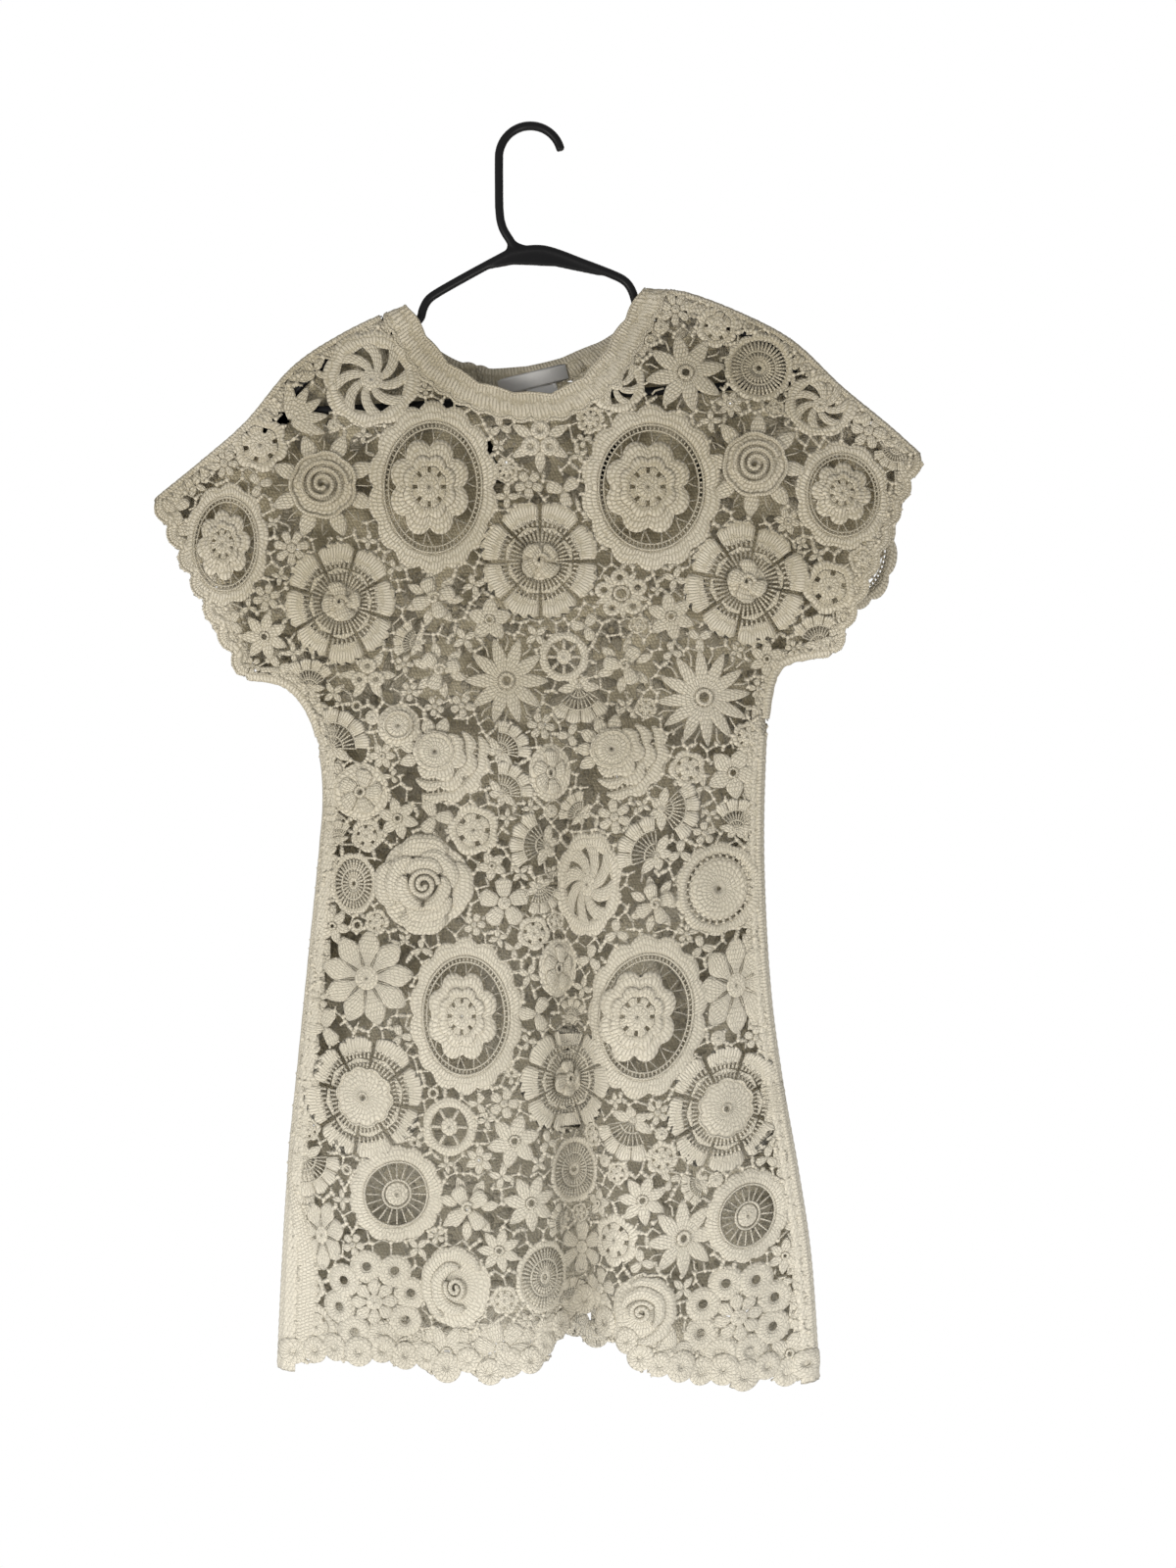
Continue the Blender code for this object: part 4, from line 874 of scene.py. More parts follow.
# The motifs of the front: kind, centre x and z, half width and height, turn, number of parts and rise.
MOTIFS = [
    (swirl, -0.134, -0.213, 0.041, 0.041, 0.2, 6, 0.0),
    (swirl, 0.072, -0.218, 0.024, 0.024, 0.9, 5, 0.0),
    (daisy, 0.130, -0.208, 0.033, 0.033, 0.2, 8, 0.0),
    (lace_wheel, 0.192, -0.203, 0.029, 0.029, 0.0, 14, 0.0),
    (swirl, 0.244, -0.234, 0.030, 0.027, 2.0, 5, 0.0),
    (leaf_spray, -0.190, -0.238, 0.022, 0.022, 0.6, 5, 0.0),
    (rosette, -0.174, -0.303, 0.046, 0.046, 0.0, 8, 0.0024),
    (rosette, 0.188, -0.286, 0.044, 0.044, 0.3, 8, 0.0024),
    (medallion, -0.256, -0.352, 0.036, 0.052, 0.5, 10, 0.0006),
    (medallion, 0.262, -0.311, 0.040, 0.046, -0.5, 10, 0.0006),
    (medallion, -0.082, -0.305, 0.054, 0.072, 0.0, 14, 0.0006),
    (medallion, 0.101, -0.305, 0.058, 0.069, 0.0, 14, 0.0006),
    (shamrock, 0.008, -0.266, 0.027, 0.027, 0.0, 6, 0.0),
    (fan, 0.008, -0.367, 0.050, 0.050, 0.4, 8, 0.0030),
    (fan, -0.159, -0.402, 0.047, 0.050, 0.1, 8, 0.0030),
    (fan, 0.181, -0.385, 0.051, 0.051, 0.2, 8, 0.0030),
    (bow, -0.081, -0.398, 0.025, 0.024, 0.4, 4, 0.0030),
    (cluster, 0.076, -0.394, 0.024, 0.022, 0.4, 5, 0.0),
    (shamrock, -0.136, -0.462, 0.024, 0.022, 0.5, 6, 0.0),
    (bow, -0.076, -0.458, 0.024, 0.024, 0.2, 3, 0.0016),
    (bow, 0.079, -0.454, 0.025, 0.024, 0.9, 3, 0.0020),
    (daisy, -0.020, -0.467, 0.034, 0.036, 0.0, 10, 0.0),
    (eyelets, 0.028, -0.447, 0.021, 0.021, 0.0, 8, 0.0),
    (daisy, 0.145, -0.481, 0.039, 0.040, 0.1, 12, 0.0),
    (button, -0.110, -0.505, 0.018, 0.018, 0.0, 0, 0.0028),
    (shell, -0.072, -0.533, 0.038, 0.036, 0.0, 1, 0.0030),
    (shell, 0.075, -0.531, 0.038, 0.036, 0.2, 1, 0.0030),
    (cup, 0.016, -0.544, 0.018, 0.024, 0.0, 0, 0.0),
    (cup, -0.142, -0.560, 0.024, 0.024, 0.0, 0, 0.0),
    (rose, -0.088, -0.637, 0.042, 0.042, 0.0, 0, 0.0),
    (swirl, 0.048, -0.637, 0.029, 0.044, 0.0, 6, 0.0004),
    (bow, 0.103, -0.653, 0.022, 0.024, 0.5, 4, 0.0036),
    (sun, 0.157, -0.641, 0.036, 0.038, 0.0, 10, 0.0),
    (lace_wheel, -0.148, -0.637, 0.020, 0.026, 0.0, 8, 0.0),
    (star, -0.136, -0.715, 0.038, 0.038, 0.1, 9, 0.0),
    (star, 0.172, -0.722, 0.031, 0.039, 0.1, 8, 0.0),
    (medallion, -0.053, -0.745, 0.047, 0.064, 0.0, 14, 0.0006),
    (medallion, 0.096, -0.745, 0.051, 0.067, 0.0, 13, 0.0018),
    (cup, 0.022, -0.707, 0.018, 0.024, 0.0, 0, 0.0),
    (fan, 0.030, -0.800, 0.045, 0.045, 0.0, 8, 0.0026),
    (disc_fan, -0.137, -0.813, 0.049, 0.051, 0.2, 8, 0.0),
    (disc_fan, 0.162, -0.823, 0.049, 0.051, 0.1, 8, 0.0),
    (eyelets, -0.066, -0.836, 0.023, 0.024, 0.0, 6, 0.0),
    (wheel, -0.110, -0.892, 0.040, 0.040, 0.0, 14, 0.0),
    (wheel, 0.180, -0.912, 0.036, 0.038, 0.0, 14, 0.0),
    (lace_wheel, 0.036, -0.876, 0.026, 0.028, 0.0, 8, 0.0),
    (bow, -0.050, -0.902, 0.026, 0.027, 0.6, 4, 0.0026),
    (daisy, 0.126, -0.927, 0.030, 0.031, 0.1, 8, 0.0),
    (scroll, -0.060, -0.967, 0.030, 0.034, 2.6, 0, 0.0024),
    (ringed, -0.128, -0.980, 0.042, 0.040, 0.0, 8, 0.0),
    (ringed, 0.172, -0.994, 0.045, 0.042, 0.2, 8, 0.0),
    (lace_wheel, 0.012, -0.960, 0.026, 0.030, 0.0, 8, 0.0),
    (scroll, 0.092, -0.985, 0.028, 0.030, 0.4, 0, 0.0020),
    (star, -0.174, -0.930, 0.020, 0.028, 0.3, 7, 0.0),
]


def blossom(work, spot, count):
    """Pointed petals close round a small ring."""
    petals(work, spot, count, 0.14, 1.05, 1.75 / count)
    ring(work, spot, 0.17, 0.0022, 0.0019)


def round_blossom(work, spot, count):
    """Round petals close round a domed middle."""
    petals(work, spot, count, 0.18, 1.02, 2.1 / count, "round", groove=0.3)
    disc(work, spot, 0.26, 0.0014, 0.0014)


def shell_fan(work, spot, count):
    """A fan of close posts with a scalloped edge."""
    base = spot.inner(spot.xy(-0.62, 0.0), 1.55, spot.turn)
    half = 0.92
    for radius in (0.30, 0.62):
        steps = max(4, int(2 * half * radius * base.size / 0.0030))
        work.cord(base.at(radius, np.linspace(-half, half, steps + 1)), GROUND, YARN * 1.3)
    for r0, r1, number in ((0.06, 0.30, 6), (0.30, 0.62, 10)):
        threads(work, base, r0, r1, np.linspace(-half, half, number), YARN * 1.1)
    for i in range(4):
        petal(work, base, half * (2 * i - 3) / 4, 0.62, 1.02, 0.215, "wedge", 0.0007, groove=0)
    for angle, reach in ((1.45, 0.56), (-1.45, 0.56), (2.35, 0.36), (-2.35, 0.36)):
        petal(work, base, angle, 0.05, reach, 0.13)
    disc(work, Spot(base.centre, 0.0030, 0.0030), 1.0, 0.0006, 0.0014)


def ringlet(work, spot, count):
    """A flat lobed flower with a ring of small holes."""
    lobed_flower(work, spot, 1.0, count, 0.0006)


def trefoil(work, spot, count):
    petals(work, spot, 3, 0.02, 1.05, 0.46, "round", rise=0.0015, groove=0.4)


def leaves(work, spot, count):
    petals(work, spot, 4, 0.06, 1.10, 0.30)


def bead(work, spot, count):
    """A little domed stitch or an eyelet."""
    if spot.pick.random() < 0.5:
        disc(work, spot, 0.95, 0.0006, 0.0016)
    else:
        ring(work, spot, 0.62, 0.0026, 0.0013)


FILLERS = (  # the least radius, and what may fill a place of that size
    (0.0165, (blossom, shell_fan, round_blossom, blossom, ringlet)),
    (0.0110, (blossom, shell_fan, ringlet, round_blossom, trefoil, shell_fan)),
    (0.0072, (leaves, trefoil, ringlet, leaves, round_blossom)),
    (0.0, (bead, leaves, trefoil)),
)
FREE_COUNT = 0.01  # fillers of more than this radius may have five, six or seven parts, and others five


def filler(work, spot):
    """Small work between the motifs, by the room there is."""
    kinds = next(kinds for least, kinds in FILLERS if spot.size >= least)
    spot.pick.choice(kinds)(work, spot, spot.pick.choice((5, 6, 7)) if spot.size > FREE_COUNT else 5)


# ---------------------------------------------------------------- panels
SIDE_LAP = {"left": (0.08, 0.92), "right": (0.35, 0.35)}  # where the lace ends on the side band, top and hem
PLAIN_STRIP = 0.014  # width of the plain work beside the left band at the hem
CORNER_GAP = 0.002  # between the stretches of an outline, so that no two cross
HEM_INSET, HEM_EDGING = 0.0045, 0.0150  # from the hem's lobes to the strip inside them, and its width
SIDE_EDGING, EDGING = 0.0045, 0.0060  # widths of the strips along the side bands and the other edges
EDGE_WIDTHS = {"cuff_left": 0.0100, "cuff_right": 0.0070, "neck": 0.0030}
EDGE_STEP = 0.0030
EDGE_LIFT, EDGE_RISE, EDGE_LOW = 0.0007, 0.0016, 0.0002  # of a strip's sides, its swell and its underside
EDGE_CORD, CORD_INSET, CORD_LIFT = 0.0022, 0.0009, 0.0017
SIDES = {"left": (UNDER_EDGES[0], BAND_TOP_LEFT_Z), "right": (UNDER_EDGES[1], BAND_TOP_RIGHT_Z)}


def side_edge(side):
    """The edge of one side below the top of its band, downwards on the left and upwards on the right."""
    line, top_z = SIDES[side]
    return line[line[:, 1] <= top_z]


def inset(side):
    top, hem = SIDE_LAP[side]
    line = side_edge(side)
    lap = top + (hem - top) * smooth(-line[:, 1], 0.85, 0.97)
    return line + left_normal(line) * (side_round(line[:, 1]) * lap)[:, None]


def panel_edges(side):
    """The stretches of a panel's outline, anticlockwise as the front is seen."""
    neck = curve(BAND_SEAM[side], 0.006)
    cuffs = [scalloped(curve(ends), CUFF_SCALLOP, CUFF_DROP, 8)
             for ends in ([SHOULDER_LEFT[-1], UNDER_LEFT[0]], [UNDER_RIGHT[0], SHOULDER_RIGHT[-1]])]
    left, right = UNDER_EDGES
    top_left, top_right = TOP_EDGES
    side_left, side_right = inset("left"), inset("right")
    hem = scalloped(curve(HEM[side]), SCALLOP, SCALLOP_DROP, 10)
    hem = hem[(hem[:, 0] > side_left[-1, 0]) & (hem[:, 0] < side_right[0, 0])]
    return {
        "top_left": top_left[top_left[:, 0] < neck[0, 0] - CORNER_GAP],
        "cuff_left": cuffs[0],
        "sleeve_left": left[left[:, 1] > BAND_TOP_LEFT_Z],
        "side_left": side_left[side_left[:, 1] > hem[0, 1] + CORNER_GAP],
        "hem": hem,
        "side_right": side_right[side_right[:, 1] > hem[-1, 1] + CORNER_GAP],
        "sleeve_right": right[right[:, 1] > BAND_TOP_RIGHT_Z],
        "cuff_right": cuffs[1],
        "top_right": top_right[top_right[:, 0] > neck[-1, 0] + CORNER_GAP],
        "neck": neck[::-1],
    }


def edging(work, cloth, line, width, corded=True):
    """A dense strip of stitches just inside an edge of the panel, with a cord along the edge."""
    line = evenly(line, EDGE_STEP)
    normal = left_normal(line)
    part = np.linspace(0, 1, 5)
    reach = part * np.reshape(width, (-1, 1))
    flat = cloth.flatten(line[:, None, :] + normal[:, None, :] * reach[..., None])
    lift = EDGE_LIFT + EDGE_RISE * (1 - np.abs(2 * part - 1) ** 3)
    work.patch(flat, lift, EDGE_LOW, (along(line)[:, None] / STITCH, part * max(1, np.max(width) / ROW)))
    if corded:
        work.cord(cloth.flatten(line + normal * CORD_INSET), CORD_LIFT, EDGE_CORD, sides=6)


def plain_width(line):
    """Widths of the left side's strip, which grows towards the hem."""
    return SIDE_EDGING + PLAIN_STRIP * smooth(-evenly(line, EDGE_STEP)[:, 1], 0.87, 0.97)


def hem_lobes(work, cloth, line, pick):
    """Round lobes with a small hole each, side by side along the hem."""
    line = evenly(line, HEM_LOBE)
    middles = line + left_normal(line) * HEM_LOBE_RADIUS * 0.82
    for seed, place in enumerate(cloth.flatten(middles)):
        size = HEM_LOBE_RADIUS * pick.uniform(0.86, 1.14)
        spot = Spot(place, size, size, pick.uniform(0, 6.28), seed)
        band(work, spot, pick.choice((0.12, 0.18, 0.24)), 1.0, 0.0018 + 0.0006 * (seed % 2), 0.0014, rows=3)


def motif_spots(cloth):
    """Each motif's kind, number of parts, rise and spot on this side of the dress."""
    made = []
    for seed, (kind, x, z, rx, rz, turn, count, rise) in enumerate(MOTIFS):
        if cloth.side == "back":
            x, turn = 2 * BACK_MIRROR_X - x, math.pi - turn
        made.append((kind, count, rise, Spot(cloth.flatten((x, z)), rx, rz, turn, seed)))
    return made


def room(places, spots):
    """Distance from each place to the nearest motif."""
    best = np.full(len(places), np.inf)
    for spot in spots:
        off = places - spot.centre
        part = np.hypot(off[:, 0] / spot.rx, off[:, 1] / spot.rz)
        best = np.minimum(best, (part - 1) * min(spot.rx, spot.rz))
    return best


FILLER_SIZES = (0.0215, 0.0175, 0.0145, 0.0120, 0.0098, 0.0078, 0.0064)
FILLER_TRIES = 26000
OVERLAP = 0.84  # fillers reach a little under their neighbours
EDGE_CLEAR = 0.002  # from a filler to the panel's edge


def place_fillers(cloth, outline, spots, pick):
    """Round places left between the motifs, the largest first."""
    low, high = outline.min(axis=0), outline.max(axis=0)
    tries = np.array([[pick.uniform(low[axis], high[axis]) for axis in (0, 1)] for _ in range(FILLER_TRIES)])
    tries = tries[inside(tries, outline)]
    flat = cloth.flatten(tries)
    free = np.minimum(room(flat, spots), distance_to(tries, outline) - EDGE_CLEAR)
    made = []
    for size in FILLER_SIZES:
        for place in np.flatnonzero(free > size * OVERLAP):
            if free[place] > size * OVERLAP:
                grown = size * pick.uniform(0.92, 1.08)
                made.append(Spot(flat[place], grown, grown, pick.uniform(0, 6.28), len(made)))
                free = np.minimum(free, np.linalg.norm(flat - flat[place], axis=1) - grown)
    return made


# Side of a cell of the net, widths of its chains and leaves, and size of its knots.
NET = {"front": (0.0078, 0.0020, 0.0044, 0.0024), "back": (0.0064, 0.0032, 0.0046, 0.0030)}
NET_SHAKE = 0.34  # how far corners are out of true, as a part of a cell
LEAF_SHARE = 0.4  # of the chains that swell to leaves
CHAIN_PLACES = 9  # looked at along a chain, for where it comes out from under a motif
CHAIN_LAP = 0.0012  # how far a chain runs under a motif


def net(work, cloth, outline, spots, pick):
    """Chains and little leaves between the motifs: a honeycomb drawn out of true."""
    cell, chain, leaf, knot_size = NET[cloth.side]
    flat_outline = cloth.flatten(outline)
    low, high = flat_outline.min(axis=0), flat_outline.max(axis=0)
    tall, wide = cell * 1.5, cell * math.sqrt(3)
    bars, shake = [], {}

    def shaken(j, k, which):
        key = (j, k, which)
        if key not in shake:
            off = cell / 2 if which else -cell / 2
            shake[key] = [at + pick.uniform(-NET_SHAKE, NET_SHAKE) * cell
                          for at in (low[0] + (j + 0.5 * (k % 2)) * wide, low[1] + k * tall + off)]
        return shake[key]

    for k in range(int((high[1] - low[1]) / tall) + 2):
        for j in range(int((high[0] - low[0]) / wide) + 2):
            up = shaken(j, k, 1)
            bars.append((shaken(j, k, 0), up))
            for right in (j + k % 2, j + k % 2 - 1):
                bars.append((up, shaken(right, k + 1, 0)))
    bars = np.array(bars)
    part = np.linspace(0, 1, CHAIN_PLACES)[None, :, None]
    line = bars[:, :1] * (1 - part) + bars[:, 1:] * part
    flat = line.reshape(-1, 2)
    covered = (room(flat, spots) < -CHAIN_LAP) | ~inside(cloth.to_view(flat), outline)
    free = ~covered.reshape(len(bars), CHAIN_PLACES)
    first = np.maximum(np.argmax(free, axis=1) - 1, 0)
    last = CHAIN_PLACES - 1 - np.maximum(np.argmax(free[:, ::-1], axis=1) - 1, 0)
    rows = np.flatnonzero(free.any(axis=1) & (last > first))
    widths = np.array([chain * pick.uniform(0.85, 1.25) for _ in rows])
    middles = np.array([leaf * pick.uniform(0.8, 1.2) if pick.random() < LEAF_SHARE else width
                        for width in widths])
    work.bars(line[rows, first[rows]], line[rows, last[rows]], widths, middles, YARN * 1.2)
    meeting = np.array(list(shake.values()))
    work.knots(meeting[(room(meeting, spots) > 0) & inside(cloth.to_view(meeting), outline)], knot_size)


PIXEL = 0.001  # of the raster that finds what is left open
PATCH = 5  # side of a patch, in pixels
SPILL = 2  # pixels that a patch reaches past what shows
PATCH_LIFT, PATCH_LOW, PATCH_SWELL = 0.0007, 0.0002, 0.0001
RASTER_MARGIN = 0.01


def raster_of(places, low, size, border=0):
    """Rows and columns of the pixels that these places lie in, at least border pixels inside the raster."""
    at = np.clip(((places - low) / PIXEL).astype(int), border, np.array(size)[::-1] - 1 - border)
    return at[:, 1], at[:, 0]


def left_open(cloth, outline, works):
    """The low corner of a raster of the flat cloth and which of its pixels in the outline no work covers."""
    flat_outline = cloth.flatten(outline)
    low, high = flat_outline.min(axis=0) - RASTER_MARGIN, flat_outline.max(axis=0) + RASTER_MARGIN
    is_open = np.ones(((high - low) / PIXEL).astype(int)[::-1], bool)
    for done in works:
        is_open[raster_of(done.spread(), low, is_open.shape)] = False
    where = np.argwhere(is_open)
    out = ~inside(cloth.to_view(low + (where[:, ::-1] + 0.5) * PIXEL), outline)
    is_open[where[out, 0], where[out, 1]] = False
    return low, is_open


def shown_gaps(shape, low, shown):
    """Rows and columns of the pixels near the flat places that show."""
    rows, columns = raster_of(shown, low, shape, SPILL + 1)
    near = np.zeros(shape, bool)
    for dy in range(-SPILL, SPILL + 1):
        for dx in range(-SPILL, SPILL + 1):
            near[rows + dy, columns + dx] = True
    return np.argwhere(near)


def patches(work, cloth, outline, low, pixels):
    """Thin closed patches over these pixels of the raster, none of them past the outline, that shut holes
    which would show the world behind the dress. On the back they stand in for the shade inside the dress:
    painted shade.
    """
    cells = np.unique(pixels // PATCH, axis=0)
    for corner in ((0, 0), (0, 1), (1, 0), (1, 1)):
        flat = low + (cells + corner)[:, ::-1] * PATCH * PIXEL
        cells = cells[inside(cloth.to_view(flat), outline)]
    rows, columns = cells.max(axis=0) + 2
    used = np.zeros((rows, columns), bool)
    used[cells[:, 0], cells[:, 1]] = True
    index = np.arange((rows + 1) * (columns + 1)).reshape(rows + 1, columns + 1)
    corners = [index[cells[:, 0] + dy, cells[:, 1] + dx] for dy, dx in ((0, 0), (0, 1), (1, 1), (1, 0))]
    upper = np.stack(corners, -1)
    faces = [upper, upper[:, ::-1] + index.size]
    for (dy, dx), a, b in (((-1, 0), 1, 0), ((0, 1), 2, 1), ((1, 0), 3, 2), ((0, -1), 0, 3)):
        rim = ~used[cells[:, 0] + dy, cells[:, 1] + dx]
        upper = np.stack([corners[a], corners[b]], -1)[rim]
        faces.append(np.hstack([upper, upper[:, ::-1] + index.size]))
    kept, faces = np.unique(np.vstack(faces), return_inverse=True)
    z, u = np.divmod(np.arange(index.size), columns + 1)
    flat = low + np.stack([u, z], 1) * PATCH * PIXEL
    swell = PATCH_SWELL * np.cos(flat[:, 0] / 0.0009) * np.cos(flat[:, 1] / 0.0011)
    lift = np.concatenate([PATCH_LIFT + swell, np.full(len(swell), PATCH_LOW)])
    points = np.column_stack([np.vstack([flat, flat]), lift])[kept]
    stitch = np.column_stack([points[:, :2] / STITCH, np.zeros(len(kept))])
    work.keep(points, stitch, faces.reshape(-1, 4))


def behind(places, cloth, other):
    """Flat places of the other side of the dress that are seen through these flat places of this side."""
    view = cloth.to_view(places)
    near, far = [one.look(one.points, view[:, 0], view[:, 1])[:, 1] for one in (cloth, other)]
    grown = (CAMERA_DISTANCE + far) / (CAMERA_DISTANCE + near)
    return other.flatten(PICTURE_CENTRE + (view - PICTURE_CENTRE) * grown[:, None])


PANEL_SEED = {"front": 5, "back": 6}
WORK_STEP = {"front": (0.0024, 1.0), "back": (0.0034, 1.5)}  # length of a face and thickness of the chains
SMALL_STEP = 1.2  # the fillers' faces against the motifs'
BACK_BORDER = 0.009  # of the back, where its lobes leave places open
NECK_HALF, NECK_LOW = 0.11, -0.27  # of the place where the back is seen through the neck


def outline_of(edges):
    return np.vstack([line[:-1] for line in edges.values()])


def panel(side, shown=None):
    """All the work of one side, in pieces of under 200,000 triangles. Gives where the back shows through."""
    cloth, back = CLOTHS[side], CLOTHS["back"]
    edges = panel_edges(side)
    outline = outline_of(edges)
    pick = random.Random(PANEL_SEED[side])
    placed_motifs = motif_spots(cloth)
    spots = [row[-1] for row in placed_motifs]
    fillers = place_fillers(cloth, outline, spots, pick)
    step, yarn = WORK_STEP[side]
    motifs, between, ground = Work(step, yarn), Work(step * SMALL_STEP, yarn), Work(step)
    for kind, count, rise, spot in placed_motifs:
        kind(motifs, spot, count, rise)
    for spot in fillers:
        filler(between, spot)
    net(ground, cloth, outline, spots + fillers, pick)
    for name, line in edges.items():
        if name == "hem":
            edging(ground, cloth, line + left_normal(line) * HEM_INSET, HEM_EDGING, corded=False)
            hem_lobes(ground, cloth, line, pick)
        elif name.startswith("side"):
            width = plain_width(line) if name == "side_left" else SIDE_EDGING
            edging(ground, cloth, line, width, corded=False)
        else:
            edging(ground, cloth, line, EDGE_WIDTHS.get(name, EDGING))
    works = {"net": ground, "small_motifs": between, "motifs": motifs}
    low, is_open = left_open(cloth, outline, works.values())
    places = low + (np.argwhere(is_open)[:, ::-1] + 0.5) * PIXEL
    if side == "front":
        shown = behind(places, cloth, back)
        view, back_outline = back.to_view(shown), outline_of(panel_edges("back"))
        bare = ~inside(view, back_outline) | (distance_to(view, back_outline) < BACK_BORDER)
        near = shown_gaps(is_open.shape, low, places[bare])
        patches(ground, cloth, outline, low, near[is_open[near[:, 0], near[:, 1]]])
    else:
        view = cloth.to_view(places)
        in_neck = (np.abs(view[:, 0] - PICTURE_CENTRE[0] / 2) < NECK_HALF) & (view[:, 1] > NECK_LOW)
        near = shown_gaps(is_open.shape, low, np.vstack([shown, places[in_neck]]))
        # the back's patches stand in for the shade inside the dress: painted shade
        works["close_work"] = Work()
        patches(works["close_work"], cloth, outline, low, near)
    pieces = {}
    for name, work in works.items():
        look = "shaded_cotton" if name == "close_work" else "crochet_cotton"
        pieces[name] = work.made(f"{side}_{name}", cloth, look)
        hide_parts(f"{side}_panel")
    pieces.pop("motifs")
    return shown


# ---------------------------------------------------------------- neckband and side bands
NECK_LAP = 0.0050  # how far the neckband's scallops lie over the panel
NECK_RIB, NECK_SCALLOP = 0.0033, 0.018
NECK_EDGE_SCALLOP, NECK_EDGE_DROP = 0.030, {"front": 0.0030, "back": 0.0006}
NECK_LIFT, NECK_SWELL, NECK_RIB_HEIGHT, NECK_LINE_DEPTH = 0.0014, 0.0010, 0.00055, 0.0006
NECK_UNDER = 0.0003
NECK_CORDS = ((0.96, 0.0022, 0.0024), (0.05, 0.0020, 0.0020))  # part of the way in, lift and width
BAND_RIBS = 3.5  # of a side band, to each side of its middle
RIB_STEP = 0.0034
BAND_PLACES = 35  # across a side band
BAND_LIFT, BAND_LOW, BAND_RIB_HEIGHT, BAND_WAVE = 0.0011, 0.0001, 0.0004, 0.00018


def strip(length):
    """Turns a strip's length into a number and does nothing more with it."""
    length = float(length)


def neckband(side):
    """The wide band along the neck, ribbed across, with soft scallops along both edges."""
    cloth = CLOTHS[side]
    seam = evenly(curve(BAND_SEAM[side], 0.004), 0.0011)
    far_seam = along(seam)
    lap = NECK_LAP * np.abs(np.sin(math.pi * far_seam / NECK_SCALLOP)) ** 0.7
    outer = seam - left_normal(seam) * lap[:, None]
    free = scalloped(curve(NECK[side], 0.004)[::-1], NECK_EDGE_SCALLOP, NECK_EDGE_DROP[side], 14)[::-1]
    far = along(free)
    at = np.linspace(0, far[-1], len(seam))
    free = np.stack([np.interp(at, far, free[:, 0]), np.interp(at, far, free[:, 1])], 1)
    part = np.linspace(0, 1, 8)
    rows = outer[:, None, :] * (1 - part)[:, None] + free[:, None, :] * part[:, None]
    ribs = np.cos(2 * math.pi * far_seam / NECK_RIB)[:, None] * (0.4 + 0.6 * np.sin(math.pi * part))
    pulled = np.exp(-((part - 0.60) / 0.10) ** 2)
    swell = NECK_SWELL * (1 - np.abs(2 * part - 1) ** 6)
    lift = NECK_LIFT + swell + NECK_RIB_HEIGHT * ribs - NECK_LINE_DEPTH * pulled
    work = Work()
    work.patch(cloth.flatten(rows), lift, NECK_UNDER, (far_seam[:, None] / NECK_RIB, part * 2))
    for share, high, width in NECK_CORDS:
        work.cord(cloth.flatten((outer * (1 - share) + free * share)[::3]), high, width, sides=6)
    piece = work.made(f"neckband_{side}_work", cloth, "crochet_cotton")
    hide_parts(f"neckband_{side}")
    strip(far_seam[-1])


def side_band(side):
    """The plain ribbed strip that rounds the side."""
    rows = evenly(side_edge(side), RIB_STEP)
    inward = left_normal(rows)
    across = np.linspace(1, -1, BAND_PLACES)
    reach = (side_round(rows[:, 1]) - SEAM / 2)[:, None] * np.abs(across)
    places = (rows[:, None, :] + inward[:, None, :] * reach[..., None]).reshape(-1, 2)
    front, back = [surface(face, places)[0].reshape(*reach.shape, 3) for face in ("front", "back")]
    base = np.where((across >= 0)[None, :, None], front, back)
    normal = np.cross(np.gradient(base, axis=1), np.gradient(base, axis=0))
    normal /= np.maximum(np.linalg.norm(normal, axis=2), 1e-12)[..., None]
    outside = np.insert(rows - inward * 0.01, 1, 0, axis=1)
    normal *= np.sign((normal * (outside[:, None, :] - base)).sum(axis=2).mean())
    rib = np.cos(2 * math.pi * across * BAND_RIBS) * BAND_RIB_HEIGHT
    wave = BAND_WAVE * np.cos(math.pi * np.arange(len(rows)))[:, None]
    points = [(base + normal * np.reshape(lift, (*np.shape(lift), 1))).reshape(-1, 3)
              for lift in (BAND_LIFT + rib + wave, np.full(reach.shape, BAND_LOW))]
    index = np.arange(reach.size).reshape(reach.shape)
    quads = quads_of(index)
    faces = [quads, quads[:, ::-1] + reach.size]
    for rim in (index[:, -1], index[::-1, 0], index[0], index[-1, ::-1]):
        faces.append(np.stack([rim[1:], rim[:-1], rim[:-1] + reach.size, rim[1:] + reach.size], -1))
    faces = np.vstack(faces)
    a = points[0][quads]
    if (np.cross(a[:, 1] - a[:, 0], a[:, 2] - a[:, 0]) * normal.reshape(-1, 3)[quads[:, 0]]).sum() < 0:
        faces = faces[:, ::-1]
    far = along(rows)
    stitch = np.stack(np.broadcast_arrays(across * 7, far[:, None] / ROW, 0.0), -1).reshape(-1, 3)
    piece = piece_of(f"side_band_{side}_rib", np.vstack(points), faces, np.empty((0, 3), int),
                     np.vstack([stitch, stitch]), "ribbed_cotton")
    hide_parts(f"side_band_{side}")
    strip(far[-1])


# ---------------------------------------------------------------- label and hanger
LABEL_CENTRE, LABEL_SIZE, LABEL_TILT = (0.001, -0.2085), (0.060, 0.015), math.radians(14)
LABEL_THREAD = 0.0006
FOLDED_UNDER, FOLD_DEPTH = 0.003, 0.0004  # of each end of the tape
STRIP_SIZE, STRIP_CENTRE = (0.026, 0.009), (0.008, -0.0095)
TAPE_THICK, STRIP_THICK, TAPE_WAVE = 0.0006, 0.0004, 0.0003


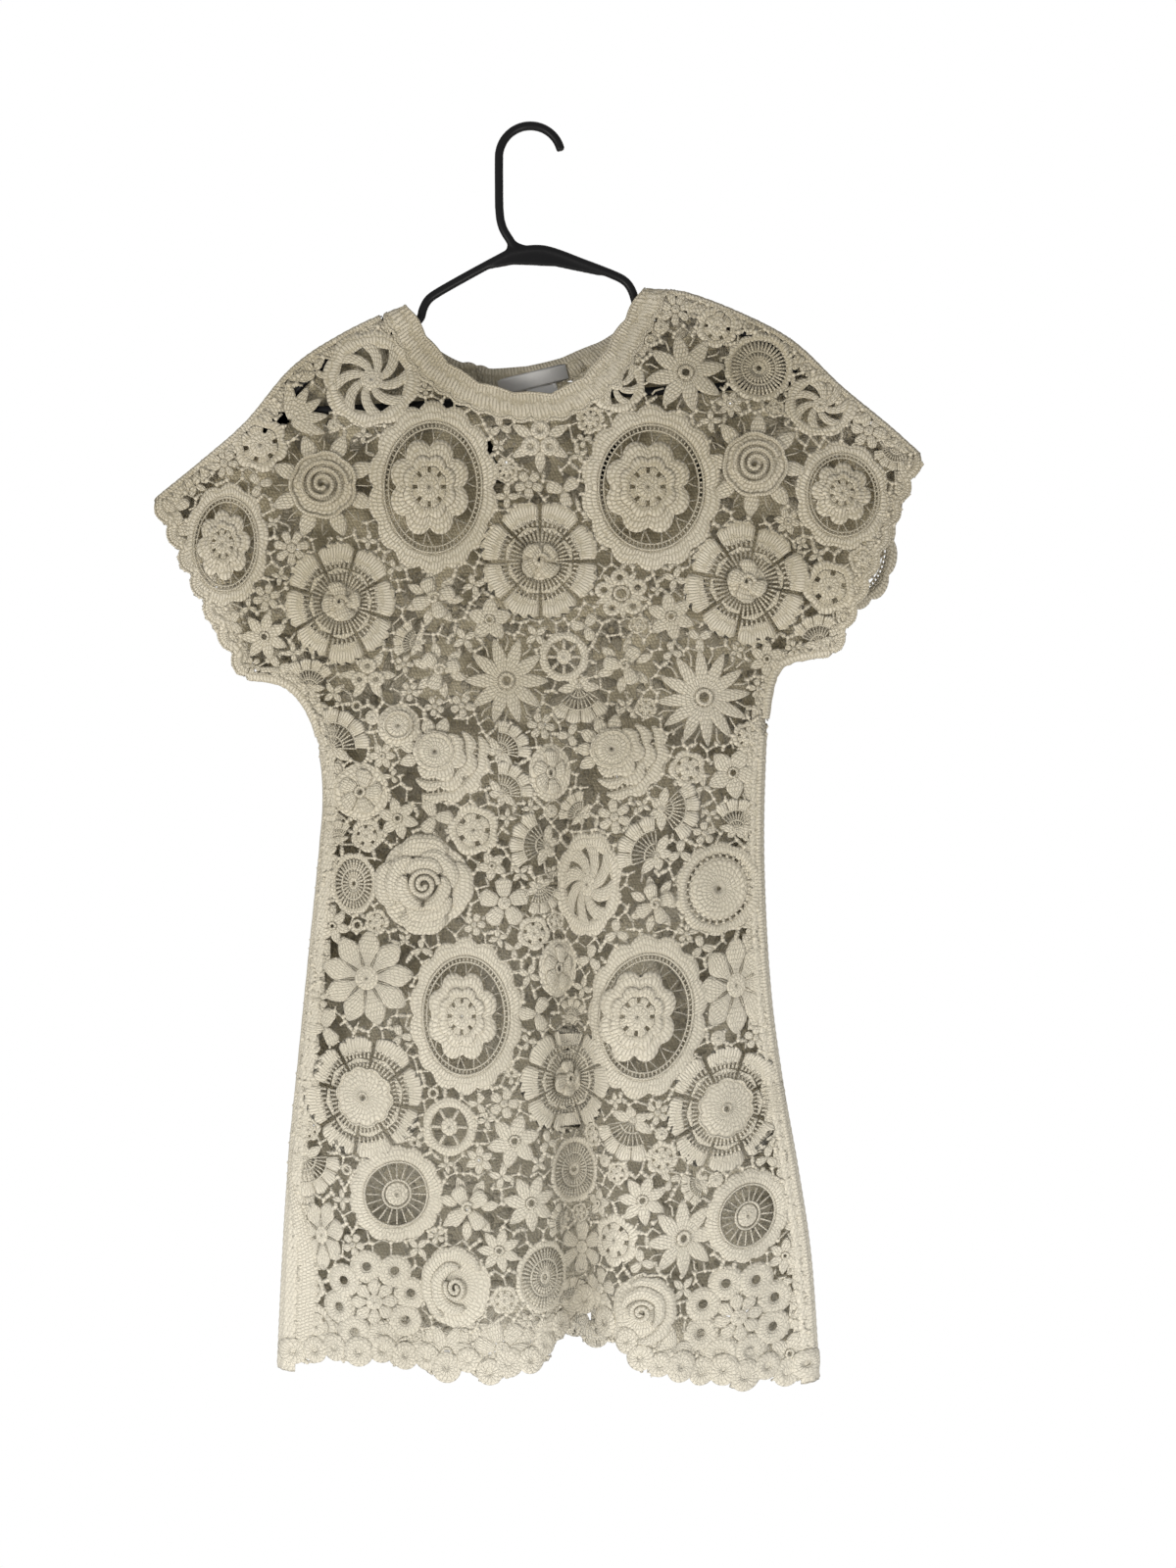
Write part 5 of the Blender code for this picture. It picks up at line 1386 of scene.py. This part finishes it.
def label():
    """The bare tape inside the back neck, its ends folded under, and the strip below it."""
    cloth, work = CLOTHS["back"], Work()
    c, s = math.cos(LABEL_TILT), math.sin(LABEL_TILT)
    for (width, height), centre, thick in ((LABEL_SIZE, (0, 0), TAPE_THICK),
                                           (STRIP_SIZE, STRIP_CENTRE, STRIP_THICK)):
        u, v = np.meshgrid(np.linspace(-width / 2, width / 2, 41), np.linspace(-height / 2, height / 2, 11))
        v = v * (1 - 0.18 * np.clip(np.abs(u) / width * 2, 0, 1) ** 10)
        low = TAPE_WAVE * np.cos(u / width * 9.0) * (v / height) - thick
        fold = -FOLD_DEPTH * (np.abs(np.abs(u) - width / 2) < FOLDED_UNDER)
        flat = cloth.flatten(np.stack([u, v], -1) @ [[c, s], [-s, c]] + LABEL_CENTRE + centre)
        work.patch(flat, low + fold, low - thick, (u / LABEL_THREAD, v / LABEL_THREAD))
    piece = work.made("label_tape", cloth, "label_tape", "label_tape")
    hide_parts("label")


TUBE = 0.0038  # radius of the hanger's tube
HOOK_RADIUS = 0.0265
HOOK_CENTRE = (-0.0008, TUBE - HOOK_RADIUS)
HOOK_STEM = [(-0.0273, -0.045), (-0.0268, -0.070), (-0.0240, -0.083), (-0.0175, -0.094), (-0.0120, -0.1035)]
FRAME_CLEAR = WALL + SHOULDER_RISE - 0.0020  # from the shoulder's outline to the middle of the tube under it
LEFT_SHOULDER, RIGHT_SHOULDER = (-0.190, -0.104), (0.102, 0.212)  # x of the stretches that lie under it
NECK_LEFT = [(-0.0175, -0.1035), (-0.050, -0.1210), (-0.0800, -0.1380), (-0.0885, -0.1450),
             (-0.0925, -0.1540), (-0.0960, -0.1615)]
BOTTOM = [(-0.1975, -0.2180), (-0.2020, -0.2260), (-0.1985, -0.2340), (-0.1890, -0.2372), (-0.130, -0.2350),
          (-0.060, -0.2305), (0.010, -0.2265), (0.080, -0.2225), (0.150, -0.2180), (0.2090, -0.2145),
          (0.2175, -0.2120), (0.2215, -0.2055), (0.2190, -0.1975)]
NECK_RIGHT = [(0.0945, -0.1520), (0.0890, -0.1475), (0.0865, -0.1390), (0.0825, -0.1310), (0.0740, -0.1245),
              (0.045, -0.1130), (0.0100, -0.1010)]
WEB = [(-0.0185, -0.0900), (-0.0105, -0.0960), (0.045, -0.1125), (0.0720, -0.1240), (0.0560, -0.1225),
       (0.0200, -0.1150), (-0.0150, -0.1135), (-0.0450, -0.1190), (-0.0700, -0.1325), (-0.0480, -0.1195),
       (-0.0220, -0.1050)]
WEB_HALF = 0.0026  # half thickness of the gusset
HOOK_FROM, HOOK_TO = 12, 180  # degrees round the hook
VOXEL = 0.0011  # of the mesh that blends tube, hook and gusset


def swept(path, closed, sides=20):
    """Points and faces of the round tube along a path in the plane y = 0."""
    turns = 2 * math.pi * np.arange(sides) / sides
    flat = path[:, None, :] + left_normal(path, closed)[:, None, :] * np.cos(turns)[None, :, None] * TUBE
    points = np.insert(flat.reshape(-1, 2), 1, np.tile(np.sin(turns) * TUBE, len(path)), axis=1)
    quads, caps = tube_faces(len(path), sides, closed)
    return points, quads.tolist() + caps


def under_shoulder(shoulder, limits):
    line = curve(shoulder, 0.02)
    line = line + left_normal(line) * FRAME_CLEAR
    return line[(line[:, 0] > limits[0]) & (line[:, 0] < limits[1])]


def hanger():
    """The moulded hanger: round tube, hook and gusset, blended together."""
    frame_path = np.vstack([NECK_LEFT, under_shoulder(SHOULDER_LEFT, LEFT_SHOULDER), BOTTOM,
                            under_shoulder(SHOULDER_RIGHT[::-1], RIGHT_SHOULDER), NECK_RIGHT, NECK_LEFT[:1]])
    angles = np.radians(np.linspace(HOOK_FROM, HOOK_TO, 15))
    bend = np.array(HOOK_CENTRE) + HOOK_RADIUS * np.stack([np.cos(angles), np.sin(angles)], 1)
    points, faces = swept(evenly(curve(frame_path, 0.003), 0.004)[:-1], True)
    hook_points, hook_faces = swept(evenly(curve(np.vstack([bend, HOOK_STEM]), 0.002), 0.003), False)
    faces += [[i + len(points) for i in face] for face in hook_faces]
    rim = np.arange(len(WEB)) + len(points) + len(hook_points)
    turned, count = np.roll(rim, -1), len(WEB)
    faces += [rim.tolist(), (rim + count)[::-1].tolist()]
    faces += np.stack([turned, rim, rim + count, turned + count], 1).tolist()
    sides = [np.insert(np.array(WEB), 1, y, axis=1) for y in (-WEB_HALF, WEB_HALF)]
    mesh = bpy.data.meshes.new("hanger_body")
    mesh.from_pydata(np.vstack([points, hook_points, *sides]).tolist(), [], faces)
    mesh.update()
    piece = placed("hanger_body", mesh, "hanger_plastic")
    remesh = piece.modifiers.new("join", "REMESH")
    remesh.mode, remesh.voxel_size, remesh.use_smooth_shade = "VOXEL", VOXEL, True
    relax = piece.modifiers.new("relax", "SMOOTH")
    relax.factor, relax.iterations = 0.5, 6
    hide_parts("hanger")


# ---------------------------------------------------------------- materials
def fill(tree, node, values):
    """Gives a node's inputs, by name or number, a value or the output of another node."""
    for key, value in dict(values).items():
        if hasattr(value, "links"):
            tree.links.new(value, node.inputs[key])
        else:
            node.inputs[key].default_value = value


def add(tree, kind, values=(), **settings):
    node = tree.nodes.new("ShaderNode" + kind)
    for name, value in settings.items():
        setattr(node, name, value)
    fill(tree, node, values)
    return node


def calculate(tree, kind, *values):
    return add(tree, "Math", enumerate(values), operation=kind).outputs[0]


def noise(tree, place, **values):
    return add(tree, "TexNoise", {"Vector": place, **values}).outputs["Fac"]


def spread_over(tree, value, low, high, start=0.0, end=1.0):
    values = {"Value": value, "From Min": start, "From Max": end, "To Min": low, "To Max": high}
    return add(tree, "MapRange", values).outputs["Result"]


def ramp(tree, amount, low, high, start=0.0, end=1.0):
    node = add(tree, "ValToRGB", {"Fac": amount})
    for element, place, colour in zip(node.color_ramp.elements, (start, end), (low, high)):
        element.position, element.color = place, (*colour, 1)
    return node.outputs["Color"]


def mixed(tree, factor, first, second):
    values = {"Factor": factor, "A": first, "B": (*second, 1)}
    return add(tree, "Mix", values, data_type="RGBA").outputs["Result"]


def new_material(name, values):
    """A material, its tree and its shader with these values."""
    made = bpy.data.materials.new(name)
    made.use_nodes = True
    shader = made.node_tree.nodes["Principled BSDF"]
    fill(made.node_tree, shader, values)
    return made, made.node_tree, shader


def stitch_group():
    """Rows of stitches from the stitch coordinates: a height, a mask of the hollows between stitches that the
    cotton darkens as painted shade, and the fold's depth.
    """
    group = bpy.data.node_groups.new("rows_of_stitches", "ShaderNodeTree")
    for name, way in (("Fineness", "INPUT"), ("Height", "OUTPUT"), ("Hollow", "OUTPUT"), ("Fold", "OUTPUT")):
        group.interface.new_socket(name, in_out=way, socket_type="NodeSocketFloat")
    start, end = group.nodes.new("NodeGroupInput"), group.nodes.new("NodeGroupOutput")
    stitch = add(group, "Attribute", attribute_name="stitch").outputs["Vector"]
    split = add(group, "SeparateXYZ", {0: stitch}).outputs
    place = add(group, "TexCoord").outputs["Object"]
    fibre = noise(group, place, Scale=start.outputs["Fineness"], Detail=4, Roughness=0.75)
    wobble = noise(group, place, Scale=240, Detail=2)

    def maths(kind, *values):
        return calculate(group, kind, *values)

    rows = maths("ADD", split["Y"], maths("MULTIPLY", wobble, 1.3))
    across = maths("FRACT", maths("ADD", split["X"], maths("MULTIPLY", maths("FLOOR", rows), 0.5)))
    down = maths("FRACT", rows)
    slant = maths("ADD", maths("ADD", across, maths("MULTIPLY", down, 0.35)), maths("MULTIPLY", fibre, 0.9))
    bump_x = maths("SINE", maths("MULTIPLY", maths("FRACT", slant), math.pi))
    bump_y = maths("SINE", maths("MULTIPLY", down, math.pi))
    height = maths("POWER", maths("MULTIPLY", bump_x, bump_y), 0.5)
    fill(group, end, {"Height": maths("ADD", height, maths("MULTIPLY", fibre, 1.3)),
                      "Hollow": maths("SUBTRACT", 1.0, height), "Fold": split["Z"]})
    return group


# The first colour is painted light: the cotton turns paler towards the hem, where more light falls. The
# second is painted shade, deepest in the folds.
PAINTED_HEM_LIGHT, FOLD_SHADE = (0.90, 0.86, 0.75), (0.34, 0.30, 0.22)
PALE_FROM, PALE_TO = -1.05, -0.30  # z between which the cotton goes from pale at the hem, painted light, to its own colour
FIBRES = 460  # scale of the fibres' noise


def cotton_material(name, light, dark, depth, group):
    """Matt ivory cotton, creamier in the hollows between stitches (painted shade) and in slow clouds of
    washing and wear, paler towards the hem (painted light) and darker in the folds (painted shade).
    """
    made, tree, shader = new_material(name, {"Specular IOR Level": 0.25, "Sheen Weight": 0.12,
                                             "Sheen Roughness": 0.6})
    stitches = tree.nodes.new("ShaderNodeGroup")
    stitches.node_tree = group
    stitches.inputs["Fineness"].default_value = FIBRES
    place = add(tree, "TexCoord").outputs["Object"]
    cloud = noise(tree, place, Scale=9, Detail=4)
    # painted shade: darker in the hollows between stitches; the slow clouds add tone that varies at random
    amount = calculate(tree, "MULTIPLY_ADD", stitches.outputs["Hollow"], 0.54, cloud)
    height = add(tree, "SeparateXYZ", {0: place}).outputs["Z"]
    # painted light: the colour turns paler towards the hem
    pale = mixed(tree, spread_over(tree, height, 0.75, 0.0, PALE_FROM, PALE_TO),
                 ramp(tree, amount, light, dark, 0.35, 0.95), PAINTED_HEM_LIGHT)
    # painted shade: darker where the cloth folds in, by the fold's depth
    in_fold = calculate(tree, "MULTIPLY", stitches.outputs["Fold"], 0.55)
    bump = add(tree, "Bump", {"Strength": 1.0, "Distance": depth, "Height": stitches.outputs["Height"]})
    fill(tree, shader, {"Base Color": mixed(tree, in_fold, pale, FOLD_SHADE),
                        "Roughness": spread_over(tree, cloud, 0.82, 0.97), "Normal": bump.outputs["Normal"]})
    return made


def plain_material(name, low, high, roughness, scale, grain, depth):
    """A smooth finish with slow variation of colour and gloss and a fine grain."""
    made, tree, shader = new_material(name, {"Specular IOR Level": 0.2})
    place = add(tree, "TexCoord").outputs["Object"]
    slow, fine = noise(tree, place, Scale=scale), noise(tree, place, Scale=grain)
    bump = add(tree, "Bump", {"Distance": depth, "Height": fine})
    fill(tree, shader, {"Base Color": ramp(tree, slow, low, high), "Normal": bump.outputs["Normal"],
                        "Roughness": spread_over(tree, fine, *roughness)})
    return made


COTTONS = {  # light and dark colour, the dark one painted shade in the hollows between stitches and the darker tone of the slow clouds, depth of the stitches
    "crochet_cotton": ((0.80, 0.735, 0.60), (0.50, 0.44, 0.31), 0.0008),
    # painted shade: a warm olive tint for the shade inside the dress, seen through the front's holes
    "shaded_cotton": ((0.93, 0.84, 0.63), (0.62, 0.54, 0.36), 0.0008),
    "ribbed_cotton": ((0.70, 0.64, 0.52), (0.46, 0.41, 0.30), 0.0005),
}
PLAIN = {  # two colours, roughness, scales of the clouds and of the grain, and the grain's depth
    # partly painted light: the tape's own white, raised to make up for the shadow that the front neckband
    # casts on it
    "label_tape": ((0.78, 0.77, 0.75), (0.87, 0.86, 0.84), (0.8, 0.95), 40, 2500, 0.0001),
    "hanger_plastic": ((0.008, 0.008, 0.009), (0.016, 0.016, 0.017), (0.32, 0.46), 12, 700, 0.00008),
}


def materials():
    group = stitch_group()
    made = {name: cotton_material(name, *values, group) for name, values in COTTONS.items()}
    return made | {name: plain_material(name, *values) for name, values in PLAIN.items()}


# ---------------------------------------------------------------- stage
FLOOR_DROP = 0.62  # from the hem to the floor
AIM = (0.02, 0, -0.6)  # what the lights point at
LIGHTS = (  # name, place, size and power
    ("key", (-1.6, -1.7, -1.0), 0.9, 28.5),
    ("low", (0.9, -1.6, -1.6), 0.9, 20),
    ("top", (0.1, 0.3, 1.6), 1.4, 3),
    ("rear", (0.6, 2.4, 0.5), 1.8, 44),
)
LAMP_COLOUR = (1.0, 0.97, 0.92)
WORLD_SEEN, WORLD_LIGHT = 1.0, 0.30  # strength of the white world to the camera and to everything else


def stage():
    bpy.ops.mesh.primitive_plane_add(size=2, location=(0, 0, cad_box[0][2] - FLOOR_DROP))
    floor = bpy.context.object
    floor.name = "floor"
    paper = new_material("floor_paper", {"Base Color": (0.86, 0.86, 0.85, 1), "Roughness": 0.9})[0]
    floor.data.materials.append(paper)
    world = bpy.data.worlds.new("studio")
    bpy.context.scene.world = world
    world.use_nodes = True
    tree = world.node_tree
    to_camera = add(tree, "LightPath").outputs["Is Camera Ray"]
    fill(tree, tree.nodes["Background"], {"Color": (1.0, 1.0, 1.0, 1),
                                          "Strength": spread_over(tree, to_camera, WORLD_LIGHT, WORLD_SEEN)})
    for name, place, size, power in LIGHTS:
        lamp = bpy.data.lights.new(name, "AREA")
        lamp.size, lamp.energy, lamp.color = size, power, LAMP_COLOUR
        holder = bpy.data.objects.new(name, lamp)
        holder.location = place
        holder.rotation_euler = Vector(np.subtract(AIM, place)).to_track_quat("-Z", "Y").to_euler()
        bpy.context.scene.collection.objects.link(holder)


FRAME_HEIGHT = 1.328  # height of the picture at the dress
CAMERA_DISTANCE = 1.55
PICTURE_CENTRE = np.array([0.048, -0.5536])
SENSOR = 36


def camera():
    data = bpy.data.cameras.new("camera")
    data.sensor_fit, data.sensor_height = "VERTICAL", SENSOR
    data.lens = SENSOR * CAMERA_DISTANCE / FRAME_HEIGHT
    holder = bpy.data.objects.new("camera", data)
    holder.location = (PICTURE_CENTRE[0], -CAMERA_DISTANCE, PICTURE_CENTRE[1])
    holder.rotation_euler = (math.pi / 2, 0, 0)
    bpy.context.scene.collection.objects.link(holder)
    bpy.context.scene.camera = holder


bpy.context.scene.view_settings.view_transform = "Standard"
stage()
camera()
MATERIALS = materials()
panel("back", panel("front"))
for side in ("front", "back"):
    neckband(side)
for side in ("left", "right"):
    side_band(side)
label()
hanger()
